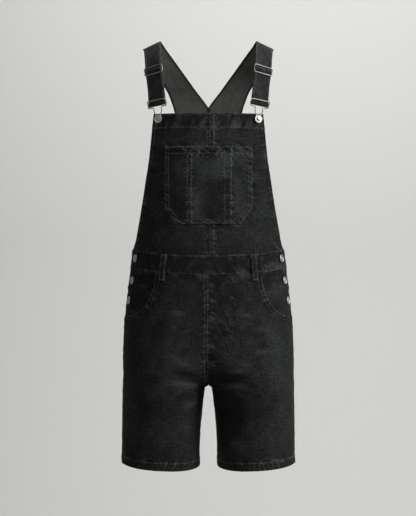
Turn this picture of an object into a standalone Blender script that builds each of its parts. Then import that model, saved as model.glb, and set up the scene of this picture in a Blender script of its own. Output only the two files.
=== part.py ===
"""Short dungarees in washed black denim, filled out as worn.

Metres, +Z up, the front faces -Y and the wearer's left is +X. The origin is midway between the
two straps where they lie on the shoulders. Every cloth piece is a wall whose right side lies on
one body surface, which is worked out from the section table below.
"""

import math
from collections import namedtuple

import bpy
import numpy as np
from mathutils import Matrix, Vector

# Cloth walls and clearances
CLOTH = 0.0014
BAND_CLOTH = 0.0026
BAND_PROUD = 0.0006
STRAP_CLOTH = 0.0018
HEM_EXTRA = 0.0012
SEAM_GAP = 0.0003
LAP_GAP = 0.0009

# Waistband, hems and openings
WAIST_SIDE_Z = -0.4510
WAIST_FRONT_DIP = 0.0135
WAIST_BACK_RISE = 0.0120
BAND_HEIGHT = 0.0405
BIB_TOP_Z = -0.1650
BIB_HEM = 0.0300
BACK_SEAM_Z = -0.1600
FLY_Z = -0.6400
CROTCH_Z = -0.7490
LEG_HEM = 0.0180
PART_START = 1.3
PART_END = 1.5
CROTCH_SWEEP = (22, 40, 55, 68, 80, 90)
CROTCH_OPENING = 0.0066
CROTCH_TURN = 0.0015
LEG_PARTING = 0.0131
LEG_PARTING_LENGTH = 0.1500
INSEAM_DROPS = (0.0007, 0.0022, 0.0070, 0.0250, 0.0500, 0.0780, 0.1080, 0.1400)
HEM_Z = -0.9245
HEM_SIDE_RISE = 0.0080
HEM_FRONT_DIP = 0.0020

# Scoop pocket: a quarter ellipse about the upper side corner of the front
SCOOP_CENTRE_X = 0.1835
SCOOP_CENTRE_Z = -0.5100
SCOOP_WIDTH = 0.0700
SCOOP_DEPTH = 0.0870
SCOOP_TURNS = (22, 42, 60)
FACING_BOTTOM_Z = -0.6110
FACING_MARGIN = 0.0140
FACING_REACH = 0.1350
FACING_FLAT = 0.0020
FACING_RISE = 0.0200

# Strips behind the side openings, with their edges as degrees round the body
STAND_DROP = 0.0030
STAND_BOTTOM_Z = -0.5730
STAND_EDGES = (66, 100)

# Bib pocket
POCKET_TOP_Z = -0.2350
POCKET_BAND = 0.0160
POCKET_CORNER_Z = -0.3645
POCKET_BOTTOM_Z = -0.3978
POCKET_HALF_WIDTH = 0.0919
POCKET_FOOT_HALF_WIDTH = 0.0682
POCKET_FELL = (0.0355, 0.0485)
POCKET_PLAY = 0.0001
BIB_FELL = 0.0125
FELL_RISE = 0.0007
FELL_STEP = 0.0008

# Fastenings
BIB_BUTTON = (0.1045, -0.1760)
BUTTON_RADIUS = 0.0088
SIDE_BUTTON_RADIUS = 0.0084
SHANK_RADIUS = 0.0028
BIB_SHANK = 0.0036
SIDE_SHANK = 0.0012
WIRE = 0.0012
STRAP_WIDTH = 0.0380
WIRE_REACH = STRAP_WIDTH / 2 + 0.0018
HOOK_PLAY = 0.0006
HOOK_DROP = 0.0320
HOOK_NECK = 0.0088
HOOK_SLOT = 0.0046
SLIDER_HEIGHT = 0.0780
SLIDER_HALF_HEIGHT = 0.0090
CROWN_BAR_N = -0.0015

BodySection = namedtuple("BodySection", "z half_width front back squareness")
BODY = (
    BodySection(-0.085, 0.1790, 0.113, 0.106, 2.40),
    BodySection(-0.126, 0.1790, 0.120, 0.1135, 2.40),
    BodySection(-0.165, 0.1780, 0.124, 0.117, 2.40),
    BodySection(-0.250, 0.1730, 0.127, 0.119, 2.40),
    BodySection(-0.350, 0.1670, 0.123, 0.110, 2.40),
    BodySection(-0.451, 0.1662, 0.117, 0.102, 2.35),
    BodySection(-0.490, 0.1710, 0.118, 0.108, 2.35),
    BodySection(-0.543, 0.1777, 0.120, 0.122, 2.30),
    BodySection(-0.600, 0.1838, 0.122, 0.136, 2.30),
    BodySection(-0.660, 0.1868, 0.121, 0.141, 2.25),
    BodySection(-0.749, 0.1874, 0.114, 0.128, 2.20),
    BodySection(-0.830, 0.1888, 0.107, 0.113, 2.15),
    BodySection(-0.930, 0.1908, 0.103, 0.107, 2.10),
)

EdgePoint = namedtuple("EdgePoint", "z x")
BIB_SIDE = (
    EdgePoint(-0.165, 0.1161),
    EdgePoint(-0.209, 0.1208),
    EdgePoint(-0.265, 0.1268),
    EdgePoint(-0.303, 0.1330),
    EdgePoint(-0.354, 0.1414),
    EdgePoint(-0.408, 0.1520),
    EdgePoint(-0.440, 0.1592),
    EdgePoint(-0.452, 0.1638),
)
BACK_SIDE = (
    EdgePoint(-0.126, 0.0800),
    EdgePoint(-0.160, 0.0715),
    EdgePoint(-0.205, 0.0680),
    EdgePoint(-0.260, 0.0770),
    EdgePoint(-0.330, 0.1000),
    EdgePoint(-0.400, 0.1340),
    EdgePoint(-0.438, 0.1560),
    EdgePoint(-0.452, 0.1640),
)

# The strap's two edges from the chest to the centre back, on the wearer's left
StrapStation = namedtuple("StrapStation", "name inner outer")
STRAP = (
    StrapStation("chest", (0.0952, -0.1071, -0.1057), (0.1294, -0.0919, -0.1123)),
    StrapStation("slider", (0.1001, -0.0953, -0.0666), (0.1343, -0.0807, -0.0745)),
    StrapStation("collar", (0.1030, -0.0696, -0.0284), (0.1376, -0.0584, -0.0396)),
    StrapStation("front top", (0.1047, -0.0365, -0.0028), (0.1407, -0.0315, -0.0182)),
    StrapStation("shoulder", (0.1056, 0.0000, 0.0078), (0.1438, 0.0000, -0.0108)),
    StrapStation("back top", (0.1000, 0.0360, 0.0029), (0.1380, 0.0300, -0.0210)),
    StrapStation("blade", (0.0840, 0.0680, -0.0155), (0.1260, 0.0600, -0.0400)),
    StrapStation("upper back", (0.0600, 0.0920, -0.0461), (0.1110, 0.0850, -0.0620)),
    StrapStation("above the point", (0.0300, 0.1060, -0.0861), (0.0940, 0.1010, -0.0900)),
)
STRAP_POINT_Z = -0.1260
STRAP_BOW = 0.0018
STRAP_LEAN = 0.0010
STRAP_TILT = -0.03

# Large folds, as troughs and ridges in front view; rise is negative for a trough
Fold = namedtuple("Fold", "face side x0 z0 x1 z1 spread rise")
FOLDS = (
    Fold("front", -1, 0.012, -0.738, 0.085, -0.700, 0.012, -0.0030),
    Fold("front", -1, 0.010, -0.752, 0.095, -0.745, 0.012, 0.0026),
    Fold("front", -1, 0.050, -0.688, 0.110, -0.676, 0.010, 0.0018),
    Fold("front", 1, 0.010, -0.722, 0.100, -0.728, 0.012, -0.0034),
    Fold("front", 1, 0.010, -0.742, 0.085, -0.782, 0.012, 0.0030),
    Fold("front", 1, 0.022, -0.770, 0.075, -0.835, 0.017, -0.0042),
    Fold("front", 0, 0.045, -0.590, 0.105, -0.592, 0.008, 0.0014),
    Fold("front", 0, 0.030, -0.628, 0.150, -0.632, 0.010, -0.0014),
    Fold("back", 0, 0.020, -0.725, 0.100, -0.705, 0.013, -0.0032),
    Fold("back", 0, 0.022, -0.748, 0.105, -0.760, 0.013, 0.0028),
    Fold("back", 0, 0.030, -0.778, 0.090, -0.815, 0.014, -0.0026),
    Fold("back", 0, 0.030, -0.395, 0.120, -0.420, 0.014, -0.0024),
    Fold("back", 0, 0.020, -0.350, 0.085, -0.375, 0.014, 0.0020),
)

FOLD_FACE = 0.0400
FOLD_START = 0.35
FOLD_END = 0.45
CENTRE_FLAT = 0.0040
CENTRE_EASE = 0.0160

# Belt loops: where each end of the strip is stitched
BeltLoop = namedtuple("BeltLoop", "name face top_x foot_x")
BELT_LOOPS = (
    BeltLoop("belt_loop_front_left", "front", 0.0938, 0.0992),
    BeltLoop("belt_loop_front_right", "front", -0.0938, -0.0992),
    BeltLoop("belt_loop_back", "back", 0.0, 0.0),
)
LOOP_WIDTH = 0.0120
LOOP_BELOW_BAND = 0.0170
LOOP_INSET = 0.0005
LOOP_ARCH = 0.0014
LOOP_CLEARANCE = 0.0008
LOOP_STEP = 0.0060
LOOP_STEP_START = 0.8

SideButton = namedtuple("SideButton", "row x z on_band")
SIDE_BUTTONS = (
    SideButton(1, 0.1560, -0.4710, True),
    SideButton(2, 0.1635, -0.5185, False),
    SideButton(3, 0.1712, -0.5620, False),
)

Finish = namedtuple("Finish", "name colour roughness metallic")
DENIM = Finish("black_denim", (0.022, 0.023, 0.023), 0.92, 0.0)
METAL = Finish("nickel", (0.62, 0.61, 0.58), 0.35, 1.0)


def through(knots, values):
    """A smooth function of one number that passes through the given knots."""
    order = np.argsort(knots)
    x, y = np.array(knots, float)[order], np.array(values, float)[order]
    step, rise = np.diff(x), np.diff(y)
    secant = rise / step
    slope = np.empty_like(x)
    slope[1:-1] = (step[1:] * secant[:-1] + step[:-1] * secant[1:]) / (step[1:] + step[:-1])
    slope[0], slope[-1] = secant[0], secant[-1]

    def value(at):
        i = np.clip(np.searchsorted(x, at) - 1, 0, len(step) - 1)
        h = step[i]
        t = np.clip((at - x[i]) / h, -0.5, 1.5)
        return (
            y[i] * (1 + 2 * t) * (1 - t) ** 2
            + h * slope[i] * t * (1 - t) ** 2
            + y[i + 1] * t**2 * (3 - 2 * t)
            + h * slope[i + 1] * t**2 * (t - 1)
        )

    return value


def of_height(table, column):
    return through([row.z for row in table], [getattr(row, column) for row in table])


half_width = of_height(BODY, "half_width")
front_depth = of_height(BODY, "front")
back_depth = of_height(BODY, "back")
squareness = of_height(BODY, "squareness")
bib_side = of_height(BIB_SIDE, "x")
back_side = of_height(BACK_SIDE, "x")


def ease(t):
    t = np.clip(t, 0.0, 1.0)
    return t * t * (3 - 2 * t)


def leg_gap(z):
    """Half the space between the legs, which opens at the crotch."""
    below = np.maximum(CROTCH_Z - z, 0.0)
    opening = CROTCH_OPENING * (1 - np.exp(-below / CROTCH_TURN))
    parting = np.sin(math.pi / 2 * np.minimum(below / LEG_PARTING_LENGTH, 1.0))
    return opening + LEG_PARTING * parting


def leg_axis(z):
    """The x of the ring's middle and the ring's inner half width on one side of the body."""
    down = np.clip((FLY_Z - z) / (FLY_Z - CROTCH_Z), 0.0, 1.0)
    parted = 1 - (1 - down**PART_START) ** PART_END
    middle = half_width(z) / 2
    return parted * middle, middle - leg_gap(z)


def body_point(angle, z):
    """A point of the right side of the cloth on the wearer's left.

    The angle is 0 at the front, 90 degrees at the side seam, 180 at the back and -90 or 270 at
    the inseam.
    """
    centre, inner = leg_axis(z)
    sine, cosine = np.sin(angle), np.cos(angle)
    power = 2 / squareness(z)
    reach = np.where((sine >= 0) | (z >= FLY_Z), half_width(z) - centre, inner)
    depth = np.where(cosine >= 0, front_depth(z), back_depth(z))
    x = centre + reach * np.sign(sine) * np.abs(sine) ** power
    y = -depth * np.sign(cosine) * np.abs(cosine) ** power
    return np.stack([x, y, z + 0 * x], axis=-1)


def angle_at_x(x, z, back=False):
    """The angle at which the ring at height z passes x."""
    centre, inner = leg_axis(z)
    across = x - centre
    share = across / np.where((across >= 0) | (z >= FLY_Z), half_width(z) - centre, inner)
    share = np.clip(share, -1, 1)
    angle = np.arcsin(np.sign(share) * np.abs(share) ** (squareness(z) / 2))
    return math.pi - angle if back else angle


def seam_turn(z, depth):
    """The angle that a point on the side seam or inseam is short of it, for half a seam gap."""
    return (SEAM_GAP / 2 / depth(z)) ** (squareness(z) / 2)


def side_angle(z, back=False):
    if back:
        return math.pi / 2 + seam_turn(z, back_depth)
    return math.pi / 2 - seam_turn(z, front_depth)


def middle_angle(z, back=False):
    """The angle of the centre seam above the crotch and of the inseam below it."""
    if back:
        above = angle_at_x(SEAM_GAP / 2, z, back=True)
        below = 1.5 * math.pi - seam_turn(z, back_depth)
    else:
        above = angle_at_x(SEAM_GAP / 2, z)
        below = -math.pi / 2 + seam_turn(z, front_depth)
    return np.where(z < CROTCH_Z - 1e-6, below, above)


def fold_rise(points):
    """How far the large folds move each point of the cloth along its normal."""
    x, y, z = points[..., 0], points[..., 1], points[..., 2]
    total = np.zeros(x.shape)
    for f in FOLDS:
        on_face = ease(-y / FOLD_FACE) if f.face == "front" else ease(y / FOLD_FACE)
        for side in (-1, 1):
            if f.side == -side:
                continue
            from_x, from_z = x - side * f.x0, z - f.z0
            run_x, run_z = side * (f.x1 - f.x0), f.z1 - f.z0
            t = (from_x * run_x + from_z * run_z) / (run_x**2 + run_z**2)
            near = np.clip(t, 0, 1)
            gap2 = (from_x - near * run_x) ** 2 + (from_z - near * run_z) ** 2
            taper = ease(t / FOLD_START) * ease((1 - t) / FOLD_END)
            total += f.rise * taper * on_face * np.exp(-gap2 / f.spread**2)
    return total * ease((np.abs(x) - CENTRE_FLAT) / CENTRE_EASE)


def grid_normals(points):
    """Unit normals of a grid of points, from its rows and columns."""
    down = np.gradient(points, axis=0)
    across = np.gradient(points, axis=1)
    normal = np.cross(down, across)
    return normal / np.maximum(np.linalg.norm(normal, axis=-1, keepdims=True), 1e-12)


def normals_of(surface, angles, heights, turn=0.002, drop=0.0006):
    """Outward unit normals of a surface that is given by angle and height."""
    across = surface(angles + turn, heights) - surface(angles - turn, heights)
    down = surface(angles, heights - drop) - surface(angles, heights + drop)
    normal = np.cross(down, across)
    return normal / np.maximum(np.linalg.norm(normal, axis=-1, keepdims=True), 1e-12)


def folded(angles, heights):
    """The body surface with its large folds."""
    points = body_point(angles, heights)
    normals = normals_of(body_point, angles, heights)
    return points + normals * fold_rise(points)[..., None]


def on_body(angles, heights, offset=0.0):
    """Points of the folded surface moved out by offset, and its outward normals."""
    normals = normals_of(folded, angles, heights)
    points = folded(angles, heights)
    return points + normals * (offset * np.ones(points.shape[:-1]))[..., None], normals


def mirrored(points, normals):
    flip = np.array([-1.0, 1.0, 1.0])
    return points * flip, normals * flip


def material_of(finish):
    material = bpy.data.materials.get(finish.name) or bpy.data.materials.new(finish.name)
    material.use_nodes = True
    shader = material.node_tree.nodes["Principled BSDF"]
    shader.inputs["Base Color"].default_value = (*finish.colour, 1.0)
    shader.inputs["Roughness"].default_value = finish.roughness
    shader.inputs["Metallic"].default_value = finish.metallic
    return material


def add_object(name, vertices, faces, finish, place=None, sharp=30):
    """A named mesh object with its faces turned outwards and its round parts smooth."""
    mesh = bpy.data.meshes.new(name)
    mesh.from_pydata([tuple(v) for v in vertices], [], faces)
    mesh.materials.append(material_of(finish))
    mesh.shade_smooth()
    mesh.set_sharp_from_angle(angle=math.radians(sharp))
    mesh.update()
    obj = bpy.data.objects.new(name, mesh)
    if place is not None:
        obj.matrix_world = place
    bpy.context.scene.collection.objects.link(obj)
    return obj


def add_wall(name, outer, normals, thickness):
    """A closed cloth wall whose right side is the grid of outer points."""
    rows, cols = outer.shape[:2]
    inner = outer - normals * (thickness * np.ones((rows, cols)))[..., None]
    vertices = np.concatenate([outer.reshape(-1, 3), inner.reshape(-1, 3)])
    count = rows * cols
    face_normal = np.cross(outer[0, 1] - outer[0, 0], outer[1, 0] - outer[0, 0])
    outward = float(face_normal @ normals[0, 0]) > 0
    faces = []
    for r in range(rows - 1):
        for c in range(cols - 1):
            a, b = r * cols + c, r * cols + c + 1
            d, e = a + cols, b + cols
            faces.append((a, b, e, d))
            faces.append((count + a, count + d, count + e, count + b))
    rim = [(0, c, 0, c + 1) for c in range(cols - 1)]
    rim += [(r, cols - 1, r + 1, cols - 1) for r in range(rows - 1)]
    rim += [(rows - 1, c + 1, rows - 1, c) for c in reversed(range(cols - 1))]
    rim += [(r + 1, 0, r, 0) for r in reversed(range(rows - 1))]
    for r0, c0, r1, c1 in rim:
        a, b = r0 * cols + c0, r1 * cols + c1
        faces.append((b, a, count + a, count + b))
    if not outward:
        faces = [tuple(reversed(f)) for f in faces]
    return add_object(name, vertices, faces, DENIM)


def both_sides(name, grid, thickness):
    """The wearer's left piece and its mirror image."""
    points, normals = grid
    add_wall(name + "_left", points, normals, thickness)
    add_wall(name + "_right", *mirrored(points, normals), thickness)


def band_top(angle):
    """The height of the waistband's upper edge, all round the body."""
    cosine = np.cos(angle)
    change = np.where(cosine >= 0, -WAIST_FRONT_DIP, WAIST_BACK_RISE)
    return WAIST_SIDE_Z + change * cosine**2


def band_bottom(angle):
    return band_top(angle) - BAND_HEIGHT


def height_rows(top, bottom, shares):
    return top + (bottom - top) * shares


def bib_columns(z, shares):
    """Columns of the bib from the centre seam to the side, with the fell's edge kept straight."""
    fell = [SEAM_GAP / 2, BIB_FELL, BIB_FELL + 0.0010]
    edge = bib_side(z)
    rest = [fell[-1] + (edge - fell[-1]) * s for s in shares]
    return np.stack([np.full_like(z, x) for x in fell] + rest, axis=-1)


def make_bib():
    """Two bib halves, felled together at the centre front, with a turned hem at the top."""
    shares = np.array([0.16, 0.33, 0.50, 0.67, 0.80, 0.90, 1.0])
    hem = BIB_HEM / (BIB_TOP_Z - band_top(0.0))
    rows = np.array([0.0, hem, hem + 0.005, 0.22, 0.36, 0.50, 0.64, 0.78, 0.90, 1.0])
    side_z = height_rows(BIB_TOP_Z, WAIST_SIDE_Z + SEAM_GAP, rows)
    x = bib_columns(side_z, shares)
    z = np.repeat(side_z[:, None], x.shape[1], axis=1)
    for _ in range(4):
        angles = angle_at_x(x, z)
        top = np.full_like(z, BIB_TOP_Z)
        z = height_rows(top, band_top(angles) + SEAM_GAP, rows[:, None])
        x = bib_columns(z[:, -1], shares)
    angles = angle_at_x(x, z)
    fell = np.where(x <= BIB_FELL, FELL_RISE, 0.0)
    hem_turn = np.where(rows[:, None] <= hem, HEM_EXTRA, 0.0)
    edge_turn = np.where(np.arange(x.shape[1])[None, :] >= x.shape[1] - 2, HEM_EXTRA, 0.0)
    thickness = CLOTH + np.maximum(hem_turn, edge_turn)
    points, normals = on_body(angles, z, fell)
    add_wall("bib_left", points, normals, thickness + fell)
    points, normals = on_body(angles, z)
    add_wall("bib_right", *mirrored(points, normals), thickness)


def make_bib_pocket():
    """The patch pocket: a band, two felled seams and cut-off lower corners."""
    a, b = POCKET_FELL
    welt = [a, a + FELL_STEP, b - FELL_STEP, b]
    half = np.array([0.018, *welt, 0.066, 0.080, POCKET_HALF_WIDTH])
    x_top = np.concatenate([-half[::-1], [0.0], half])
    z_rows = np.array(
        [
            POCKET_TOP_Z,
            POCKET_TOP_Z - POCKET_BAND,
            POCKET_TOP_Z - POCKET_BAND - 0.0010,
            -0.275,
            -0.300,
            -0.325,
            -0.345,
            POCKET_CORNER_Z,
            -0.381,
            POCKET_BOTTOM_Z,
        ]
    )
    below = np.clip(
        (POCKET_CORNER_Z - z_rows) / (POCKET_CORNER_Z - POCKET_BOTTOM_Z), 0, 1
    )
    narrowing = POCKET_HALF_WIDTH + (POCKET_FOOT_HALF_WIDTH - POCKET_HALF_WIDTH) * below
    outside = np.clip((np.abs(x_top) - b) / (POCKET_HALF_WIDTH - b), 0, 1)
    x = x_top[None, :] - np.sign(x_top) * outside * (
        POCKET_HALF_WIDTH - narrowing[:, None]
    )
    z = np.repeat(z_rows[:, None], x.shape[1], axis=1)
    angles = np.sign(x) * angle_at_x(np.abs(x), z)
    band = np.where(z_rows[:, None] >= POCKET_TOP_Z - POCKET_BAND, HEM_EXTRA, 0.0)
    on_welt = np.abs(np.abs(x_top) - (a + b) / 2) < (b - a) / 2 - FELL_STEP / 2
    fell = np.where(on_welt, FELL_RISE, 0.0)
    rise = np.maximum(band, fell[None, :])
    lift = CLOTH + SEAM_GAP + FELL_RISE + POCKET_PLAY
    points, normals = on_body(angles, z, lift + rise)
    add_wall("bib_pocket", points, normals, CLOTH + rise)


def make_waistbands():
    """Front and back waistbands, which part at the sides."""
    rows = np.array([0.0, 0.5, 1.0])
    spread = np.linspace(-1, 1, 19)
    for name, back in (("front", False), ("back", True)):
        if back:
            end = side_angle(WAIST_SIDE_Z, back=True)
            angles = math.pi + spread * (math.pi - end)
        else:
            angles = spread * side_angle(WAIST_SIDE_Z)
        angles = np.repeat(angles[None, :], len(rows), axis=0)
        z = height_rows(band_top(angles), band_bottom(angles), rows[:, None])
        points, normals = on_body(angles, z, BAND_PROUD)
        add_wall(name + "_waistband", points, normals, BAND_CLOTH)


def make_back_bib():
    """The back panel: narrow between the shoulder blades and full width at the waist."""
    rows = np.array([0.0, 0.08, 0.17, 0.28, 0.40, 0.52, 0.64, 0.76, 0.87, 0.94, 1.0])
    across = np.linspace(-1, 1, 15)
    top = BACK_SEAM_Z - SEAM_GAP
    z = height_rows(top, WAIST_SIDE_Z, rows[:, None]) + 0 * across
    for _ in range(4):
        x = across[None, :] * back_side(z[:, -1:])
        turn = angle_at_x(np.abs(x), z, back=True)
        z = height_rows(top, band_top(turn) + SEAM_GAP, rows[:, None])
    angles = math.pi + np.sign(-x) * (math.pi - angle_at_x(np.abs(x), z, back=True))
    edge_turn = np.where(np.abs(across)[None, :] > 0.99, HEM_EXTRA, 0.0)
    add_wall("back_bib", *on_body(angles, z), CLOTH + edge_turn * np.ones_like(z))


def leg_rows(start_z):
    """Heights of the centre column: down to the crotch, then on to the inseam's foot."""
    upper = np.linspace(start_z, FLY_Z, 5)
    parted = np.sin(np.radians(CROTCH_SWEEP))
    down = (1 - (1 - parted) ** (1 / PART_END)) ** (1 / PART_START)
    crotch = FLY_Z + (CROTCH_Z - FLY_Z) * down
    return np.concatenate([upper, crotch])


def hem_height(angle):
    """The cut edge of the leg: lower at the inseam and the front."""
    side_rise = HEM_SIDE_RISE * (1 + np.sin(angle)) / 2
    return HEM_Z + side_rise - HEM_FRONT_DIP * np.maximum(np.cos(angle), 0.0)


def leg_grid(top_angles, top_heights, back=False):
    """Angles and heights of one leg panel, from its upper edge to its hem."""
    columns = np.linspace(0, 1, len(top_angles))
    start = middle_angle(top_heights[0], back)
    share_top = (top_angles - start) / (side_angle(top_heights, back) - start)
    centre = leg_rows(top_heights[0])
    angles, heights = [], []
    for z_centre in centre:
        v = (top_heights[0] - z_centre) / (top_heights[0] - CROTCH_Z)
        z = top_heights + (CROTCH_Z - top_heights) * v
        share = share_top + (columns - share_top) * v
        inner = middle_angle(z_centre, back)
        angles.append(inner + share * (side_angle(z, back) - inner))
        heights.append(z)
    foot = hem_height(middle_angle(HEM_Z, back))
    drop = CROTCH_Z - foot
    hem = 1 - LEG_HEM / drop
    shares = [d / drop for d in INSEAM_DROPS] + [hem - 0.004, hem, 1.0]
    for v in shares:
        z_inner = CROTCH_Z + (foot - CROTCH_Z) * v
        inner = middle_angle(z_inner, back)
        outer = side_angle(z_inner, back)
        angle = inner + columns * (outer - inner)
        z = CROTCH_Z + (hem_height(angle) - CROTCH_Z) * v
        angles.append(angle)
        heights.append(z)
    return np.array(angles), np.array(heights)


def hem_thickness(heights):
    thickness = np.full(heights.shape, CLOTH)
    thickness[-2:] += HEM_EXTRA
    return thickness


def scoop_height(x, top):
    """The height of the pocket mouth's edge at x, from where it leaves the waistband."""
    share = np.clip((SCOOP_CENTRE_X - x) / SCOOP_WIDTH, 0, 1)
    return top + (SCOOP_CENTRE_Z - SCOOP_DEPTH - top) * np.sqrt(1 - share**2)


def make_front_legs():
    """Front panels: the scooped pocket mouth is part of the upper edge."""
    start_x = SCOOP_CENTRE_X - SCOOP_WIDTH
    x = np.linspace(SEAM_GAP / 2, start_x, 7)
    z = np.full_like(x, band_bottom(0.0))
    for _ in range(4):
        angle = angle_at_x(x, z)
        z = band_bottom(angle) - SEAM_GAP
    turn = np.radians(SCOOP_TURNS)
    scoop_x = SCOOP_CENTRE_X - SCOOP_WIDTH * np.cos(turn)
    scoop_z = scoop_height(scoop_x, z[-1])
    mouth = angle_at_x(scoop_x, scoop_z)
    flank = np.linspace(mouth[-1], side_angle(SCOOP_CENTRE_Z - SCOOP_DEPTH), 5)[1:]
    flank_z = np.full_like(flank, scoop_z[-1])
    for _ in range(8):
        flank_z = scoop_height(body_point(flank, flank_z)[..., 0], z[-1])
    scoop_angle = np.concatenate([mouth, flank])
    scoop_z = np.concatenate([scoop_z, flank_z])
    top_angles = np.concatenate([angle, scoop_angle])
    top_heights = np.concatenate([z, scoop_z])
    angles, heights = leg_grid(top_angles, top_heights)
    both_sides("front_leg", on_body(angles, heights), hem_thickness(heights))


def make_back_legs():
    """Back panels, from the waistband to the hem."""
    ends = [middle_angle(-0.48, back=True), side_angle(-0.49, back=True)]
    top_angles = np.linspace(ends[0], ends[1], 13)
    top_heights = band_bottom(top_angles) - SEAM_GAP
    top_angles[0] = middle_angle(top_heights[0], back=True)
    top_angles[-1] = side_angle(top_heights[-1], back=True)
    angles, heights = leg_grid(top_angles, top_heights, back=True)
    both_sides("back_leg", on_body(angles, heights), hem_thickness(heights))


def scoop_distance(x, z):
    """How far a point of the hip lies inside the pocket mouth, towards the side seam."""
    reach = np.hypot(
        (x - SCOOP_CENTRE_X) / SCOOP_WIDTH, (z - SCOOP_CENTRE_Z) / SCOOP_DEPTH
    )
    return (1 - reach) * (SCOOP_WIDTH + SCOOP_DEPTH) / 2


def make_pocket_facings():
    """The hip pieces that show in the pocket mouths and carry the side buttons."""
    rows = np.linspace(0, 1, 9)
    columns = np.linspace(0, 1, 8)
    angles, heights, offsets = [], [], []
    side_top = WAIST_SIDE_Z - BAND_HEIGHT - SEAM_GAP
    for r in rows:
        z_side = side_top + (FACING_BOTTOM_Z - side_top) * r
        z = np.full_like(columns, z_side)
        for _ in range(4):
            fall = np.clip((z[0] - SCOOP_CENTRE_Z) / FACING_REACH, -1, 0)
            reach = (SCOOP_WIDTH + FACING_MARGIN) * math.sqrt(1 - fall**2)
            inner_x = SCOOP_CENTRE_X - reach
            start = angle_at_x(inner_x, z[0])
            angle = start + columns * (side_angle(z) - start)
            top = band_bottom(angle) - SEAM_GAP
            z = top + (FACING_BOTTOM_Z - top) * r
        x = body_point(angle, z)[..., 0]
        raised = ease((scoop_distance(x, z) - FACING_FLAT) / FACING_RISE)
        angles.append(angle)
        heights.append(z)
        offsets.append(-(CLOTH + LAP_GAP) * (1 - raised))
    grid = on_body(np.array(angles), np.array(heights), np.array(offsets))
    both_sides("pocket_facing", grid, CLOTH)


def make_button_stands():
    """Strips behind the side openings, to which the side buttons are fixed."""
    rows = np.linspace(WAIST_SIDE_Z - STAND_DROP, STAND_BOTTOM_Z, 6)
    columns = np.radians(np.linspace(*STAND_EDGES, 6))
    angles, heights = np.meshgrid(columns, rows)
    depth = BAND_CLOTH - BAND_PROUD + LAP_GAP
    both_sides("button_stand", on_body(angles, heights, -depth), CLOTH)


def make_belt_loops():
    """Strips over the waistband, stitched at its upper edge and below its lower edge."""
    rows = np.linspace(0, 1, 8)
    columns = np.array([-0.5, 0.5])
    for loop in BELT_LOOPS:
        back = loop.face == "back"
        centre = loop.top_x + (loop.foot_x - loop.top_x) * rows
        x = centre[:, None] + columns[None, :] * LOOP_WIDTH
        z = np.full_like(x, WAIST_SIDE_Z)
        for _ in range(4):
            turn = angle_at_x(np.abs(x), z, back)
            z_top = band_top(turn) - LOOP_INSET
            z_foot = band_bottom(turn) - LOOP_BELOW_BAND
            z = z_top + (z_foot - z_top) * rows[:, None]
        if back:
            angles = math.pi + np.sign(-x) * (math.pi - turn)
        else:
            angles = np.sign(x) * turn
        on_band = ease((z - band_bottom(angles)) / LOOP_STEP + LOOP_STEP_START)
        base = LOOP_CLEARANCE + BAND_PROUD * on_band
        arch = LOOP_ARCH * np.sin(math.pi * rows[:, None])
        points, normals = on_body(angles, z, base + arch + CLOTH)
        add_wall(loop.name, points, normals, CLOTH)


def unit(vector):
    return vector / np.linalg.norm(vector)


def frame_at(x, z, offset=0.0):
    """A point on the front of the body and its axes: across and out."""
    step = 0.004
    xs = np.array([[x - step, x, x + step]] * 3)
    zs = np.array([[z + step] * 3, [z] * 3, [z - step] * 3])
    points, normals = on_body(angle_at_x(xs, zs), zs)
    out = normals[1, 1]
    return points[1, 1] + out * offset, unit(points[1, 2] - points[1, 0]), out


def matrix_from(origin, x_axis, y_axis, z_axis):
    rows = [[x_axis[i], y_axis[i], z_axis[i], origin[i]] for i in range(3)]
    return Matrix(rows + [[0, 0, 0, 1]])


def add_turned(name, profile, place, segments=14, finish=METAL):
    """A round solid from radii and heights, turned about its own Z."""
    vertices, faces, rings = [], [], []
    for radius, height in profile:
        if radius == 0:
            rings.append([len(vertices)])
            vertices.append((0, 0, height))
            continue
        ring = []
        for i in range(segments):
            a = 2 * math.pi * i / segments
            ring.append(len(vertices))
            vertices.append((radius * math.cos(a), radius * math.sin(a), height))
        rings.append(ring)
    for low, high in zip(rings, rings[1:]):
        for i in range(segments):
            j = (i + 1) % segments
            if len(low) == 1:
                faces.append((low[0], high[j], high[i]))
            elif len(high) == 1:
                faces.append((low[i], low[j], high[0]))
            else:
                faces.append((low[i], low[j], high[j], high[i]))
    return add_object(name, vertices, faces, finish, place, sharp=40)


def button_profile(radius, shank):
    """A tack button: shank, flat back, rolled rim and a low dome in the middle."""
    return [
        (0, 0),
        (SHANK_RADIUS, 0),
        (SHANK_RADIUS, shank),
        (radius - 0.0006, shank),
        (radius, shank + 0.0008),
        (radius - 0.0008, shank + 0.0018),
        (radius * 0.72, shank + 0.0012),
        (radius * 0.45, shank + 0.0017),
        (0, shank + 0.0020),
    ]


def make_buttons():
    """Two buttons on the bib and three down each side opening."""
    for side, word in ((1, "left"), (-1, "right")):
        point, across, out = frame_at(*BIB_BUTTON, SEAM_GAP)
        place = mirror_place(point, across, out, side)
        profile = button_profile(BUTTON_RADIUS, BIB_SHANK)
        add_turned("bib_button_" + word, profile, place)
        for b in SIDE_BUTTONS:
            lift = SEAM_GAP + (BAND_PROUD if b.on_band else 0.0)
            point, across, out = frame_at(b.x, b.z, lift)
            place = mirror_place(point, across, out, side)
            profile = button_profile(SIDE_BUTTON_RADIUS, SIDE_SHANK)
            add_turned(f"side_button_{word}_{b.row}", profile, place)


def mirror_place(point, across, out, side):
    """The matrix of a round piece whose Z points out of the cloth, on either side."""
    flip = np.array([side, 1.0, 1.0])
    out, across = out * flip, across * flip
    return matrix_from(point * flip, across, np.cross(out, across), out)


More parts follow.
